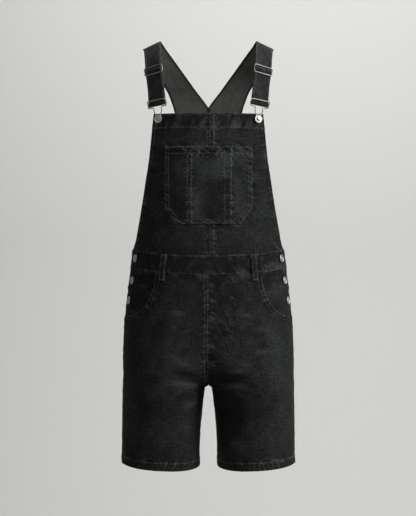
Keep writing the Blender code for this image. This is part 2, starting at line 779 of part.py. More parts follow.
class StrapLine:
    """The right side of a strap: its centre line, width and axes by distance from the hook."""

    def __init__(self):
        point, across, out = frame_at(*BIB_BUTTON)
        wire_point = point + out * (SEAM_GAP + WIRE + HOOK_PLAY)
        first = STRAP[0]
        toward = (np.array(first.inner) + np.array(first.outer)) / 2
        self.up = unit(toward - out * STRAP_LEAN - wire_point)
        self.bar = wire_point + self.up * HOOK_DROP
        tilted = unit(across - self.up * (across @ self.up) + np.array([0, 0, STRAP_TILT]))
        self.across = unit(tilted - self.up * (tilted @ self.up))
        self.out = np.cross(self.across, self.up)
        self.bar_depth = STRAP_CLOTH + SEAM_GAP + WIRE
        start = self.bar + self.out * self.bar_depth
        half = self.across * STRAP_WIDTH / 2
        inner = [start - half] + [np.array(s.inner) for s in STRAP]
        outer = [start + half] + [np.array(s.outer) for s in STRAP]
        inner, outer = np.array(inner), np.array(outer)
        centre = (inner + outer) / 2
        knots = np.concatenate([[0], np.cumsum(np.linalg.norm(np.diff(centre, axis=0), axis=1))])
        self.length = knots[-1]
        self.inner = [through(knots, inner[:, i]) for i in range(3)]
        self.outer = [through(knots, outer[:, i]) for i in range(3)]

    def edges(self, s):
        """The inner and outer edge points at distance s above the hook's bar."""
        if s < 0:
            a, b = self.edges(0.0)
            return a + self.up * s, b + self.up * s
        return (
            np.array([f(s) for f in self.inner]),
            np.array([f(s) for f in self.outer]),
        )

    def axes(self, s):
        """Centre, across, up and out at distance s."""
        a, b = self.edges(s)
        across = unit(b - a)
        if s <= 0:
            up = self.up
        else:
            before, after = self.edges(max(s - 0.002, 0)), self.edges(s + 0.002)
            up = unit(sum(after) - sum(before))
        up = unit(up - across * (up @ across))
        return (a + b) / 2, across, up, unit(np.cross(across, up))

    def place(self, s, c, n):
        """A point at distance s up the strap, c across it from the centre and n out of it."""
        centre, across, up, out = self.axes(s)
        return centre + across * c + out * n


def arc_points(centre_s, centre_n, radius, start, stop, count):
    """Points round a bar, in distance up the strap and distance out; 0 degrees is straight out."""
    turn = np.radians(np.linspace(start, stop, count))
    return [
        (centre_s + radius * math.sin(a), centre_n + radius * math.cos(a)) for a in turn
    ]


def strap_path(line):
    """Where the strap's right side runs on the chest, from above the slider to its sewn end."""
    slide = SLIDER_HEIGHT
    bar_ring = STRAP_CLOTH + SEAM_GAP + WIRE
    crown = CROWN_BAR_N + bar_ring + SEAM_GAP + STRAP_CLOTH
    path = []
    for share in (1.35, 1.0, 0.75, 0.5, 0.25, 0.0, -0.25, -0.5, -0.75, -1.0, -1.35):
        lift = crown * math.cos(math.pi / 2 * min(abs(share), 1.0)) ** 2
        path.append((slide + share * SLIDER_HALF_HEIGHT, lift))
    path += [(0.045, 0.0), (0.025, 0.0), (0.010, 0.0)]
    path += arc_points(0.0, -line.bar_depth, bar_ring, 0, -180, 9)
    rear = -2 * STRAP_CLOTH - SEAM_GAP
    path += [(0.010, rear - 0.0016), (0.022, rear - 0.0002), (0.042, rear)]
    path += [(slide - 1.2 * SLIDER_HALF_HEIGHT, rear - 0.0001)]
    path += arc_points(slide, CROWN_BAR_N, bar_ring, 180, -25, 10)
    return path


def strap_points(line, columns):
    """The strap's right side as a grid, from the centre back to its sewn end."""
    rows = []
    for z in (BACK_SEAM_Z, STRAP_POINT_Z):
        x = SEAM_GAP / 2 + columns * (back_side(z) - SEAM_GAP / 2)
        heights = np.full_like(x, z)
        rows.append(body_point(angle_at_x(x, heights, back=True), heights))
    ends = line.length - np.array([0.0, 0.020, 0.042, 0.064, 0.084])
    steps = np.linspace(ends[-1], SLIDER_HEIGHT + 0.020, 9)[1:]
    for s in np.concatenate([ends, steps]):
        a, b = line.edges(s)
        bow = STRAP_BOW * ease((s - 0.20) / 0.08)
        crown = (4 * columns * (1 - columns) * bow)[:, None] * line.axes(s)[3]
        rows.append(a + (b - a) * columns[:, None] + crown)
    for s, n in strap_path(line):
        a, b = line.edges(s)
        width = np.linalg.norm(b - a)
        rows.append(np.array([line.place(s, (c - 0.5) * width, n) for c in columns]))
    return np.array(rows)


def tube(points, radius, sides=6, closed=True):
    """Vertices and faces of a round wire along a line of points."""
    points = np.array(points, float)
    count = len(points)
    ahead = np.roll(points, -1, axis=0) - np.roll(points, 1, axis=0)
    if not closed:
        ahead[0], ahead[-1] = points[1] - points[0], points[-1] - points[-2]
    normal = np.cross(ahead[0], [0.3, 0.2, 0.9])
    vertices, faces = [], []
    for i in range(count):
        along = unit(ahead[i])
        normal = unit(normal - along * (normal @ along))
        side = np.cross(along, normal)
        for k in range(sides):
            a = 2 * math.pi * k / sides
            vertices.append(points[i] + radius * (math.cos(a) * normal + math.sin(a) * side))
    shift = 0
    if closed:
        first, last = np.array(vertices[:sides]), np.array(vertices[-sides:])
        gaps = [
            sum(np.linalg.norm(last[k] - first[(k + j) % sides]) for k in range(sides))
            for j in range(sides)
        ]
        shift = int(np.argmin(gaps))
    for i in range(count if closed else count - 1):
        wrap = i == count - 1
        for k in range(sides):
            a, b = i * sides + k, i * sides + (k + 1) % sides
            turn = shift if wrap else 0
            c = ((i + 1) % count) * sides + (k + 1 + turn) % sides
            d = ((i + 1) % count) * sides + (k + turn) % sides
            faces.append((a, b, c, d))
    if not closed:
        faces.append(tuple(reversed(range(sides))))
        faces.append(tuple(range((count - 1) * sides, count * sides)))
    return vertices, faces


def add_wire(name, line, loop, bar, side):
    """A closed wire frame with a straight bar joined across it, on one side of the body."""
    flip = np.array([side, 1.0, 1.0])

    def placed(points):
        return [line(*p) * flip for p in points]

    frame = add_object(name, *oriented(tube(placed(loop), WIRE), side), METAL, sharp=70)
    cross = add_object(
        name + "_bar",
        *oriented(tube(placed(bar), WIRE * 0.92, closed=False), side),
        METAL,
    )
    cross.hide_render = True
    cross.display_type = "WIRE"
    joint = frame.modifiers.new("Join", "BOOLEAN")
    joint.operation = "UNION"
    joint.object = cross
    return frame


def oriented(shape, side):
    """Vertices and faces whose volume is positive."""
    vertices, faces = shape
    v = np.array(vertices)
    volume = 0.0
    for f in faces:
        for i in range(1, len(f) - 1):
            volume += np.dot(v[f[0]], np.cross(v[f[i]], v[f[i + 1]]))
    if volume < 0:
        faces = [tuple(reversed(f)) for f in faces]
    return vertices, faces


def corner(c, s, radius, start, stop, count=4):
    """Points round a corner whose centre is c across and s up."""
    turn = np.radians(np.linspace(start, stop, count))
    return [(c + radius * math.cos(a), s + radius * math.sin(a)) for a in turn]


def slider_loop():
    """The slider's frame as across, up and out: its long sides lie over the strap."""
    half, high, radius = WIRE_REACH, SLIDER_HALF_HEIGHT, 0.0035
    flat = corner(half - radius, high - radius, radius, 90, 0)
    flat += [(half, 0.0)]
    flat += corner(half - radius, -high + radius, radius, 0, -90)
    flat += corner(-half + radius, -high + radius, radius, 270, 180)
    flat += [(-half, 0.0)]
    flat += corner(-half + radius, high - radius, radius, 180, 90)
    front = WIRE + SEAM_GAP
    rise = [CROWN_BAR_N + (front - CROWN_BAR_N) * ease(abs(s) / (high * 0.75)) for _, s in flat]
    return [(c, s, n) for (c, s), n in zip(flat, rise)]


def hook_loop():
    """The hook's frame: a box round the strap's fold that narrows to a slot for the button."""
    half, neck, slot = WIRE_REACH, HOOK_NECK, HOOK_SLOT
    foot = -(STRAP_CLOTH + SEAM_GAP + WIRE) - 2 * WIRE + 0.0002
    high, radius = 0.0085, 0.0030
    flat = [(0.0, high)]
    flat += corner(half - radius, high - radius, radius, 90, 0)
    flat += [(half, 0.002), (half, -0.001)]
    flat += corner(half - radius, foot + radius, radius, 0, -90)
    flat += [(neck + 0.003, foot)]
    flat += [(neck + 0.0006, foot - 0.0012), (neck, foot - 0.0035)]
    flat += [(neck, foot - 0.0085), (neck - 0.0012, foot - 0.0120)]
    flat += [(slot + 0.0006, -HOOK_DROP + 0.0085), (slot, -HOOK_DROP + 0.0045)]
    flat += corner(0.0, -HOOK_DROP - 0.0010, slot, 0, -90, 4)
    left = [(-c, s) for c, s in reversed(flat[1:-1])]
    flat = flat + left
    front = STRAP_CLOTH + SEAM_GAP + WIRE + WIRE + SEAM_GAP
    return [(c, s, front * ease((s - 0.001) / 0.0055)) for c, s in flat]


def make_straps():
    """Straps with their sliders and hooks. The hooks lie round the bib buttons' shanks."""
    line = StrapLine()
    columns = np.linspace(0, 1, 4)
    points = strap_points(line, columns)
    normals = grid_normals(points)
    if normals[8, 1] @ line.axes(SLIDER_HEIGHT + 0.05)[3] < 0:
        normals = -normals
    both_sides("strap", (points, normals), STRAP_CLOTH)

    def in_hook(c, s, n):
        return line.bar + line.across * c + line.up * s + line.out * n

    def in_slider(c, s, n):
        return line.place(SLIDER_HEIGHT + s, c, n)

    for side, word in ((1, "left"), (-1, "right")):
        bar = [(-WIRE_REACH, 0.0, 0.0), (WIRE_REACH, 0.0, 0.0)]
        add_wire("strap_hook_" + word, in_hook, hook_loop(), bar, side)
        bar = [(-WIRE_REACH, 0.0, CROWN_BAR_N), (WIRE_REACH, 0.0, CROWN_BAR_N)]
        add_wire("strap_slider_" + word, in_slider, slider_loop(), bar, side)


def main():
    for obj in list(bpy.data.objects):
        bpy.data.objects.remove(obj)
    make_bib()
    make_bib_pocket()
    make_waistbands()
    make_back_bib()
    make_front_legs()
    make_back_legs()
    make_pocket_facings()
    make_button_stands()
    make_belt_loops()
    make_buttons()
    make_straps()


main()
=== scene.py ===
import math

import bpy
import numpy as np
from mathutils import Matrix, Vector


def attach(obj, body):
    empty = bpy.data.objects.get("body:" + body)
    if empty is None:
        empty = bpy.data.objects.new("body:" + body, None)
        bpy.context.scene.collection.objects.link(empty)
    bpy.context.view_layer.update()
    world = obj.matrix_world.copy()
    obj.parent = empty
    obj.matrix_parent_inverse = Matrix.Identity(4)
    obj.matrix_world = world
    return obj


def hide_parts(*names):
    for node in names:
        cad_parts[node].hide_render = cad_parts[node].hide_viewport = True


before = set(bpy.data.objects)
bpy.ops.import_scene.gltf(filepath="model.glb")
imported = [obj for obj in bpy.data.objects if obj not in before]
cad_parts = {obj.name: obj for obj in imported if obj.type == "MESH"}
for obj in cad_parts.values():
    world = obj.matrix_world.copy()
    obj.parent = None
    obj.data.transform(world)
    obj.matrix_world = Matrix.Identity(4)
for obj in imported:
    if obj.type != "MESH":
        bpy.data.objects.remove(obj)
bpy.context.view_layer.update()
print("frame loaded")


# The camera stands level in front of the waist, as far off as the photograph shows
view = {"distance": 2.73, "height": -0.470, "focalPixels": 1238.0, "middleX": 208.4,
        "imageWidth": 416, "imageHeight": 516}


def makeCamera():
    data = bpy.data.cameras.new("camera")
    data.sensor_fit = "VERTICAL"
    data.angle_y = 2 * math.atan(view["imageHeight"] / 2 / view["focalPixels"])
    data.shift_x = (view["imageWidth"] / 2 - view["middleX"]) / view["imageHeight"]
    camera = bpy.data.objects.new("camera", data)
    camera.location = (0, -view["distance"], view["height"])
    camera.rotation_euler = (math.radians(90), 0, 0)
    bpy.context.scene.collection.objects.link(camera)
    bpy.context.scene.camera = camera


makeCamera()
print("camera placed")


# The body that the cloth is filled out over: one section a row, metres
bodyTable = {
    "z": [-0.085, -0.126, -0.165, -0.250, -0.350, -0.451, -0.490, -0.543, -0.600, -0.660,
          -0.749, -0.830, -0.930],
    "halfWidth": [0.1790, 0.1790, 0.1780, 0.1730, 0.1670, 0.1662, 0.1710, 0.1777, 0.1838,
                  0.1868, 0.1874, 0.1888, 0.1908],
    "front": [0.113, 0.120, 0.124, 0.127, 0.123, 0.117, 0.118, 0.120, 0.122, 0.121, 0.114,
              0.107, 0.103],
    "back": [0.106, 0.1135, 0.117, 0.119, 0.110, 0.102, 0.108, 0.122, 0.136, 0.141, 0.128,
             0.113, 0.107],
    "squareness": [2.40, 2.40, 2.40, 2.40, 2.40, 2.35, 2.35, 2.30, 2.30, 2.25, 2.20, 2.15,
                   2.10],
}
bibSideTable = {
    "z": [-0.165, -0.209, -0.265, -0.303, -0.354, -0.408, -0.440, -0.452],
    "x": [0.1161, 0.1208, 0.1268, 0.1330, 0.1414, 0.1520, 0.1592, 0.1638],
}
backSideTable = {
    "z": [-0.126, -0.160, -0.205, -0.260, -0.330, -0.400, -0.438, -0.452],
    "x": [0.0800, 0.0715, 0.0680, 0.0770, 0.1000, 0.1340, 0.1560, 0.1640],
}
cut = {
    "cloth": 0.0014, "band": 0.0026, "bandProud": 0.0006, "strap": 0.0018, "turned": 0.0012,
    "gap": 0.0003, "lap": 0.0009, "waistSideZ": -0.4510, "waistDip": 0.0135,
    "waistRise": 0.0120, "bandHeight": 0.0405, "bibTopZ": -0.1650, "bibHem": 0.0300,
    "backSeamZ": -0.1600, "flyZ": -0.6400, "crotchZ": -0.7490, "legHem": 0.0180,
    "partStart": 1.3, "partEnd": 1.5, "hemZ": -0.9245, "hemRise": 0.0080, "hemDip": 0.0020,
}
grid = {"cell": 0.0030, "fineCell": 0.0024}


def through(knots, values):
    # a smooth function of one number that passes through the knots
    order = np.argsort(knots)
    x, y = np.array(knots, float)[order], np.array(values, float)[order]
    step, rise = np.diff(x), np.diff(y)
    secant = rise / step
    slope = np.empty_like(x)
    slope[1:-1] = (step[1:] * secant[:-1] + step[:-1] * secant[1:]) / (step[1:] + step[:-1])
    slope[0], slope[-1] = secant[0], secant[-1]

    def value(at):
        i = np.clip(np.searchsorted(x, at) - 1, 0, len(step) - 1)
        h, t = step[i], np.clip((at - x[i]) / step[i], -0.5, 1.5)
        return (y[i] * (1 + 2 * t) * (1 - t) ** 2 + h * slope[i] * t * (1 - t) ** 2
                + y[i + 1] * t**2 * (3 - 2 * t) + h * slope[i + 1] * t**2 * (t - 1))

    return value


halfWidth, frontDepth, backDepth, squareness = (
    through(bodyTable["z"], bodyTable[c]) for c in ("halfWidth", "front", "back", "squareness"))
bibSide = through(bibSideTable["z"], bibSideTable["x"])
backSide = through(backSideTable["z"], backSideTable["x"])


def ease(t):
    t = np.clip(t, 0.0, 1.0)
    return t * t * (3 - 2 * t)


def hill(distance, width):
    return np.exp(-(distance / width) ** 2)


def noise(x, y, seed=0):
    # smooth uneven relief, from -1 to 1, with cells one unit across
    i, j = np.floor(x), np.floor(y)
    fx, fy = ease(x - i), ease(y - j)

    def corner(a, b):
        s = np.sin((i + a) * 127.1 + (j + b) * 311.7 + seed * 74.7) * 43758.5453
        return s - np.floor(s)

    low = corner(0, 0) * (1 - fx) + corner(1, 0) * fx
    high = corner(0, 1) * (1 - fx) + corner(1, 1) * fx
    return 2 * (low * (1 - fy) + high * fy) - 1


def legGap(z):
    below = np.maximum(cut["crotchZ"] - z, 0.0)
    opening = np.sin(math.pi / 2 * np.minimum(below / 0.150, 1.0))
    return 0.0066 * (1 - np.exp(-below / 0.0015)) + 0.0131 * opening


def legAxis(z):
    down = np.clip((cut["flyZ"] - z) / (cut["flyZ"] - cut["crotchZ"]), 0.0, 1.0)
    parted = 1 - (1 - down ** cut["partStart"]) ** cut["partEnd"]
    middle = halfWidth(z) / 2
    return parted * middle, middle - legGap(z)


def bodyPoint(angle, z):
    # 0 is the front, a quarter turn the side seam, a half turn the back
    centre, inner = legAxis(z)
    sine, cosine = np.sin(angle), np.cos(angle)
    power = 2 / squareness(z)
    reach = np.where((sine >= 0) | (z >= cut["flyZ"]), halfWidth(z) - centre, inner)
    depth = np.where(cosine >= 0, frontDepth(z), backDepth(z))
    x = centre + reach * np.sign(sine) * np.abs(sine) ** power
    y = -depth * np.sign(cosine) * np.abs(cosine) ** power
    return np.stack([x, y, z + 0 * x], axis=-1)


def bodyFrame(angle, z, side=1):
    angle, z = np.broadcast_arrays(np.asarray(angle, float), np.asarray(z, float))
    across = bodyPoint(angle + 0.002, z) - bodyPoint(angle - 0.002, z)
    down = bodyPoint(angle, z - 0.0006) - bodyPoint(angle, z + 0.0006)
    normal = np.cross(down, across)
    normal /= np.maximum(np.linalg.norm(normal, axis=-1, keepdims=True), 1e-12)
    flip = np.array([side, 1.0, 1.0])
    return bodyPoint(angle, z) * flip, normal * flip


def angleAtX(x, z, back=False):
    centre, inner = legAxis(z)
    across = x - centre
    reach = np.where((across >= 0) | (z >= cut["flyZ"]), halfWidth(z) - centre, inner)
    share = np.clip(across / reach, -1, 1)
    angle = np.arcsin(np.sign(share) * np.abs(share) ** (squareness(z) / 2))
    return math.pi - angle if back else angle


def seamTurn(z, depth):
    return (cut["gap"] / 2 / depth(z)) ** (squareness(z) / 2)


def sideAngle(z, back=False):
    if back:
        return math.pi / 2 + seamTurn(z, backDepth)
    return math.pi / 2 - seamTurn(z, frontDepth)


def middleAngle(z, back=False):
    if back:
        above = angleAtX(cut["gap"] / 2, z, back=True)
        below = 1.5 * math.pi - seamTurn(z, backDepth)
    else:
        above = angleAtX(cut["gap"] / 2, z)
        below = -math.pi / 2 + seamTurn(z, frontDepth)
    return np.where(z < cut["crotchZ"] - 1e-6, below, above)


def bandTop(angle):
    cosine = np.cos(angle)
    return cut["waistSideZ"] + np.where(cosine >= 0, -cut["waistDip"], cut["waistRise"]) * cosine**2


def bandBottom(angle):
    return bandTop(angle) - cut["bandHeight"]


# Folds and creases as they lie in front view: ends, width, height (below zero for a trough)
foldTable = [
    # face, side, x0, z0, x1, z1, spread, rise
    ("front", -1, 0.012, -0.738, 0.085, -0.700, 0.012, -0.0030),
    ("front", -1, 0.010, -0.752, 0.095, -0.745, 0.012, 0.0026),
    ("front", -1, 0.050, -0.688, 0.110, -0.676, 0.010, 0.0018),
    ("front", 1, 0.010, -0.722, 0.100, -0.728, 0.012, -0.0034),
    ("front", 1, 0.010, -0.742, 0.085, -0.782, 0.012, 0.0030),
    ("front", 1, 0.022, -0.770, 0.075, -0.835, 0.017, -0.0042),
    ("front", 0, 0.045, -0.590, 0.105, -0.592, 0.008, 0.0014),
    ("front", 0, 0.030, -0.628, 0.150, -0.632, 0.010, -0.0014),
    ("back", 0, 0.020, -0.725, 0.100, -0.705, 0.013, -0.0032),
    ("back", 0, 0.022, -0.748, 0.105, -0.760, 0.013, 0.0028),
    ("back", 0, 0.030, -0.778, 0.090, -0.815, 0.014, -0.0026),
    ("back", 0, 0.030, -0.395, 0.120, -0.420, 0.014, -0.0024),
    ("back", 0, 0.020, -0.350, 0.085, -0.375, 0.014, 0.0020),
]
creaseTable = [
    # face, side, x0, z0, x1, z1, spread, rise
    ("front", -1, 0.040, -0.265, 0.018, -0.345, 0.012, -0.0010),
    ("front", -1, 0.028, -0.175, 0.075, -0.230, 0.009, -0.0006),
    ("front", 1, 0.070, -0.405, 0.120, -0.440, 0.009, 0.0007),
    ("front", -1, 0.080, -0.400, 0.125, -0.442, 0.009, 0.0006),
    ("front", -1, 0.045, -0.588, 0.090, -0.586, 0.004, 0.0009),
    ("front", -1, 0.060, -0.608, 0.125, -0.612, 0.005, -0.0006),
    ("front", 1, 0.062, -0.590, 0.104, -0.594, 0.004, 0.0008),
    ("front", 1, 0.083, -0.622, 0.145, -0.625, 0.006, 0.0009),
    ("front", 1, 0.072, -0.733, 0.110, -0.748, 0.005, -0.0009),
    ("front", 1, 0.083, -0.762, 0.120, -0.765, 0.006, -0.0009),
    ("front", -1, 0.045, -0.660, 0.066, -0.684, 0.006, -0.0010),
    ("front", -1, 0.020, -0.775, 0.060, -0.792, 0.008, 0.0010),
    ("front", -1, 0.095, -0.735, 0.150, -0.720, 0.010, -0.0008),
    ("front", 1, 0.100, -0.660, 0.150, -0.652, 0.009, -0.0008),
    ("front", 1, 0.055, -0.690, 0.090, -0.700, 0.006, 0.0008),
    ("front", 1, 0.040, -0.855, 0.090, -0.880, 0.012, 0.0012),
    ("front", -1, 0.060, -0.850, 0.120, -0.862, 0.013, 0.0005),
    ("front", 1, 0.014, -0.738, 0.095, -0.744, 0.006, 0.0016),
    ("front", 1, 0.016, -0.757, 0.085, -0.779, 0.008, -0.0016),
    ("front", 1, 0.030, -0.712, 0.090, -0.708, 0.006, 0.0010),
    ("front", -1, 0.014, -0.727, 0.085, -0.709, 0.006, -0.0014),
    ("front", -1, 0.014, -0.742, 0.095, -0.733, 0.006, 0.0016),
    ("front", -1, 0.030, -0.762, 0.085, -0.768, 0.008, -0.0009),
    ("front", -1, 0.038, -0.700, 0.075, -0.690, 0.004, 0.0009),
    ("front", -1, 0.040, -0.630, 0.080, -0.626, 0.004, 0.0007),
    ("front", 1, 0.090, -0.672, 0.135, -0.668, 0.004, 0.0008),
    ("front", -1, 0.116, -0.497, 0.162, -0.500, 0.0045, 0.0009),
    ("front", -1, 0.118, -0.513, 0.158, -0.511, 0.0050, -0.0009),
    ("front", -1, 0.118, -0.531, 0.160, -0.527, 0.0045, 0.0011),
    ("front", 1, 0.108, -0.491, 0.165, -0.477, 0.0045, 0.0010),
    ("front", 1, 0.112, -0.503, 0.162, -0.489, 0.0040, 0.0009),
    ("front", 1, 0.120, -0.511, 0.160, -0.499, 0.0045, -0.0009),
    ("front", 1, 0.114, -0.520, 0.136, -0.548, 0.0060, 0.0009),
    ("back", -1, 0.040, -0.580, 0.110, -0.600, 0.010, 0.0012),
    ("back", 1, 0.050, -0.600, 0.130, -0.588, 0.009, 0.0010),
    ("back", 1, 0.060, -0.672, 0.125, -0.680, 0.009, -0.0012),
    ("back", -1, 0.055, -0.690, 0.115, -0.672, 0.008, -0.0010),
    ("back", -1, 0.050, -0.850, 0.110, -0.868, 0.012, 0.0011),
    ("back", 1, 0.045, -0.862, 0.100, -0.850, 0.011, -0.0010),
    ("back", 1, 0.020, -0.270, 0.060, -0.300, 0.010, -0.0008),
]


def rowRise(rows, point):
    x, y, z = point[..., 0], point[..., 1], point[..., 2]
    total = np.zeros(x.shape)
    for face, only, x0, z0, x1, z1, spread, rise in rows:
        onFace = ease(-y / 0.04) if face == "front" else ease(y / 0.04)
        for side in (-1, 1):
            if only == -side:
                continue
            ax, bx = side * x0, side * x1
            along, drop = bx - ax, z1 - z0
            t = ((x - ax) * along + (z - z0) * drop) / (along**2 + drop**2)
            near = np.clip(t, 0, 1)
            away = np.hypot(x - ax - near * along, z - z0 - near * drop)
            total += rise * ease(t / 0.35) * ease((1 - t) / 0.45) * onFace * hill(away, spread)
    return total


def foldParts(point):
    # large folds clear of the centre line, small creases, and the cloth's own unevenness
    x, y, z = point[..., 0], point[..., 1], point[..., 2]
    clear = ease((np.abs(x) - 0.004) / 0.016)
    side = np.where(y < 0, 3.0, 11.0)
    loose = 0.0008 * noise(x / 0.045 + side, z / 0.060, 5) + 0.0004 * noise(x / 0.017 + side, z / 0.024, 9)
    below = ease((-0.50 - z) / 0.05)
    return rowRise(foldTable, point) * clear, rowRise(creaseTable, point), loose * (0.45 + 0.55 * below)


# Broad pale places of wear and washing, mixed with painted light and shade: darker at the crotch, the inner right
# leg, the left hip and the left lower leg, paler at the right hip, the right of the bib and the right outer leg
# where the key light falls
fadeAndPaintedLightTable = [
    # face, x, z, half width, half height, how much paler
    ("front", -0.066, -0.680, 0.055, 0.120, 0.42),
    ("front", 0.092, -0.645, 0.050, 0.090, 0.17),
    ("front", 0.150, -0.660, 0.030, 0.100, 0.26),
    ("front", 0.010, -0.310, 0.085, 0.130, 0.52),
    ("front", 0.110, -0.390, 0.040, 0.060, 0.16),
    ("front", -0.050, -0.850, 0.050, 0.050, -0.08),
    ("front", 0.100, -0.850, 0.050, 0.060, 0.10),
    ("front", 0.000, -0.478, 0.090, 0.022, -0.10),
    # painted shade in the crotch and on the inner right leg, painted light on the right outer leg, painted shade on
    # the left hip and painted light on the right hip
    ("front", 0.000, -0.745, 0.036, 0.035, -0.45),
    ("front", 0.040, -0.810, 0.022, 0.060, -0.18),
    ("front", 0.152, -0.830, 0.030, 0.090, 0.16),
    ("front", -0.148, -0.522, 0.028, 0.040, -0.12),
    ("front", 0.148, -0.515, 0.028, 0.040, 0.12),
    ("back", -0.085, -0.620, 0.060, 0.090, 0.20),
    ("back", 0.085, -0.610, 0.060, 0.090, 0.20),
    ("back", 0.080, -0.830, 0.060, 0.070, 0.10),
    ("back", -0.070, -0.850, 0.060, 0.060, 0.10),
    ("back", 0.000, -0.330, 0.060, 0.090, 0.08),
]


def fadeAndPaintedLight(point):
    # broad pale places where the cloth is rubbed in wear and washing, plus painted light on the right side and
    # painted shade on the left side, in the crotch and on the inner right leg
    x, z = point[..., 0], point[..., 2]
    total = np.zeros(x.shape)
    for face, midX, midZ, wide, high, amount in fadeAndPaintedLightTable:
        onFace = ease((-point[..., 1] if face == "front" else point[..., 1]) / 0.04)
        total += amount * onFace * np.exp(-((x - midX) / wide) ** 2 - ((z - midZ) / high) ** 2)
    return total


class Panel:
    # a stretch of cloth: its place, what is built up on it, how it draws up, and its seam lines
    def __init__(self, side=1, offset=None, detail=None, worn=0.27):
        self.side, self.offset, self.detail, self.worn = side, offset, detail, worn

    def relief(self, angle, z, point):
        return self.detail(angle, z, point) if self.detail else (0.0, 0.0, ())

    def at(self, angle, z):
        point, normal = bodyFrame(angle, z, self.side)
        built, drawn, _ = self.relief(angle, z, point)
        rise = sum(foldParts(point)) + built + drawn
        if self.offset is not None:
            rise = rise + self.offset(angle, z, point)
        return point + normal * rise[..., None], normal

    def finish(self, angle, z):
        # how pale each place is painted, from wear together with painted highlight on the ridges and painted shade
        # in the troughs of its relief, and how far it lies from three sets of seam lines
        point, _ = bodyFrame(angle, z, self.side)
        _, drawn, lines = self.relief(angle, z, point)
        folds, creases, loose = foldParts(point)
        # folds, creases, loose unevenness and puckers are painted into the tone: paler on their ridges as painted
        # highlight and whiskering wear, darker in their troughs as painted shade
        wear = self.worn + fadeAndPaintedLight(point) + folds / 0.0110 + creases / 0.0024 + loose / 0.0070 + drawn / 0.0011
        away = [line + 0 * point[..., 0] for line in lines]
        away += [np.ones(point.shape[:-1])] * (3 - len(away))
        return np.clip(wear, 0, 1), np.stack(away, axis=-1)


def pucker(distance, along, seed, pitch=0.0085, reach=0.008, high=0.00055):
    # a stitched seam draws the cloth up in uneven small waves that cross it at a slant
    slant = (along + 0.35 * distance) / pitch
    wave = noise(slant * 1.7, distance / 0.03, seed) + 0.6 * noise(slant * 0.6, distance / 0.02, seed + 3)
    return high * 1.35 * wave * hill(distance, reach)


def ridge(distance, low, high, tall, soft=0.0010):
    # a raised band between two distances, with soft edges
    return tall * ease((distance - low) / soft + 0.5) * ease((high - distance) / soft + 0.5)


def lengths(points, axis):
    step = np.linalg.norm(np.diff(points, axis=axis), axis=-1)
    pad = [(0, 0), (0, 0)]
    pad[axis] = (1, 0)
    return np.pad(np.cumsum(step, axis=axis), pad)


def meshObject(name, points, faces, materials, slots=None, uv=None, wear=None, lines=None):
    mesh = bpy.data.meshes.new(name)
    mesh.from_pydata(points.tolist() if hasattr(points, "tolist") else points, [], faces)
    for material in materials:
        mesh.materials.append(material)
    if slots is not None:
        mesh.polygons.foreach_set("material_index", np.asarray(slots, np.int32))
    if uv is not None:
        layer = mesh.uv_layers.new(name="cloth")
        corners = np.zeros(len(mesh.loops), np.int32)
        mesh.loops.foreach_get("vertex_index", corners)
        layer.data.foreach_set("uv", np.ascontiguousarray(uv[corners], np.float32).ravel())
    # the per-point tone carries wear together with painted light and shade
    if wear is not None:
        wearAndLightTone = mesh.attributes.new("wear", "FLOAT", "POINT")
        wearAndLightTone.data.foreach_set("value", np.ascontiguousarray(wear, np.float32))
        away = mesh.attributes.new("lines", "FLOAT_VECTOR", "POINT")
        away.data.foreach_set("vector", np.ascontiguousarray(lines, np.float32).ravel())
    mesh.shade_smooth()
    mesh.update()
    obj = bpy.data.objects.new(name, mesh)
    bpy.context.scene.collection.objects.link(obj)
    return obj


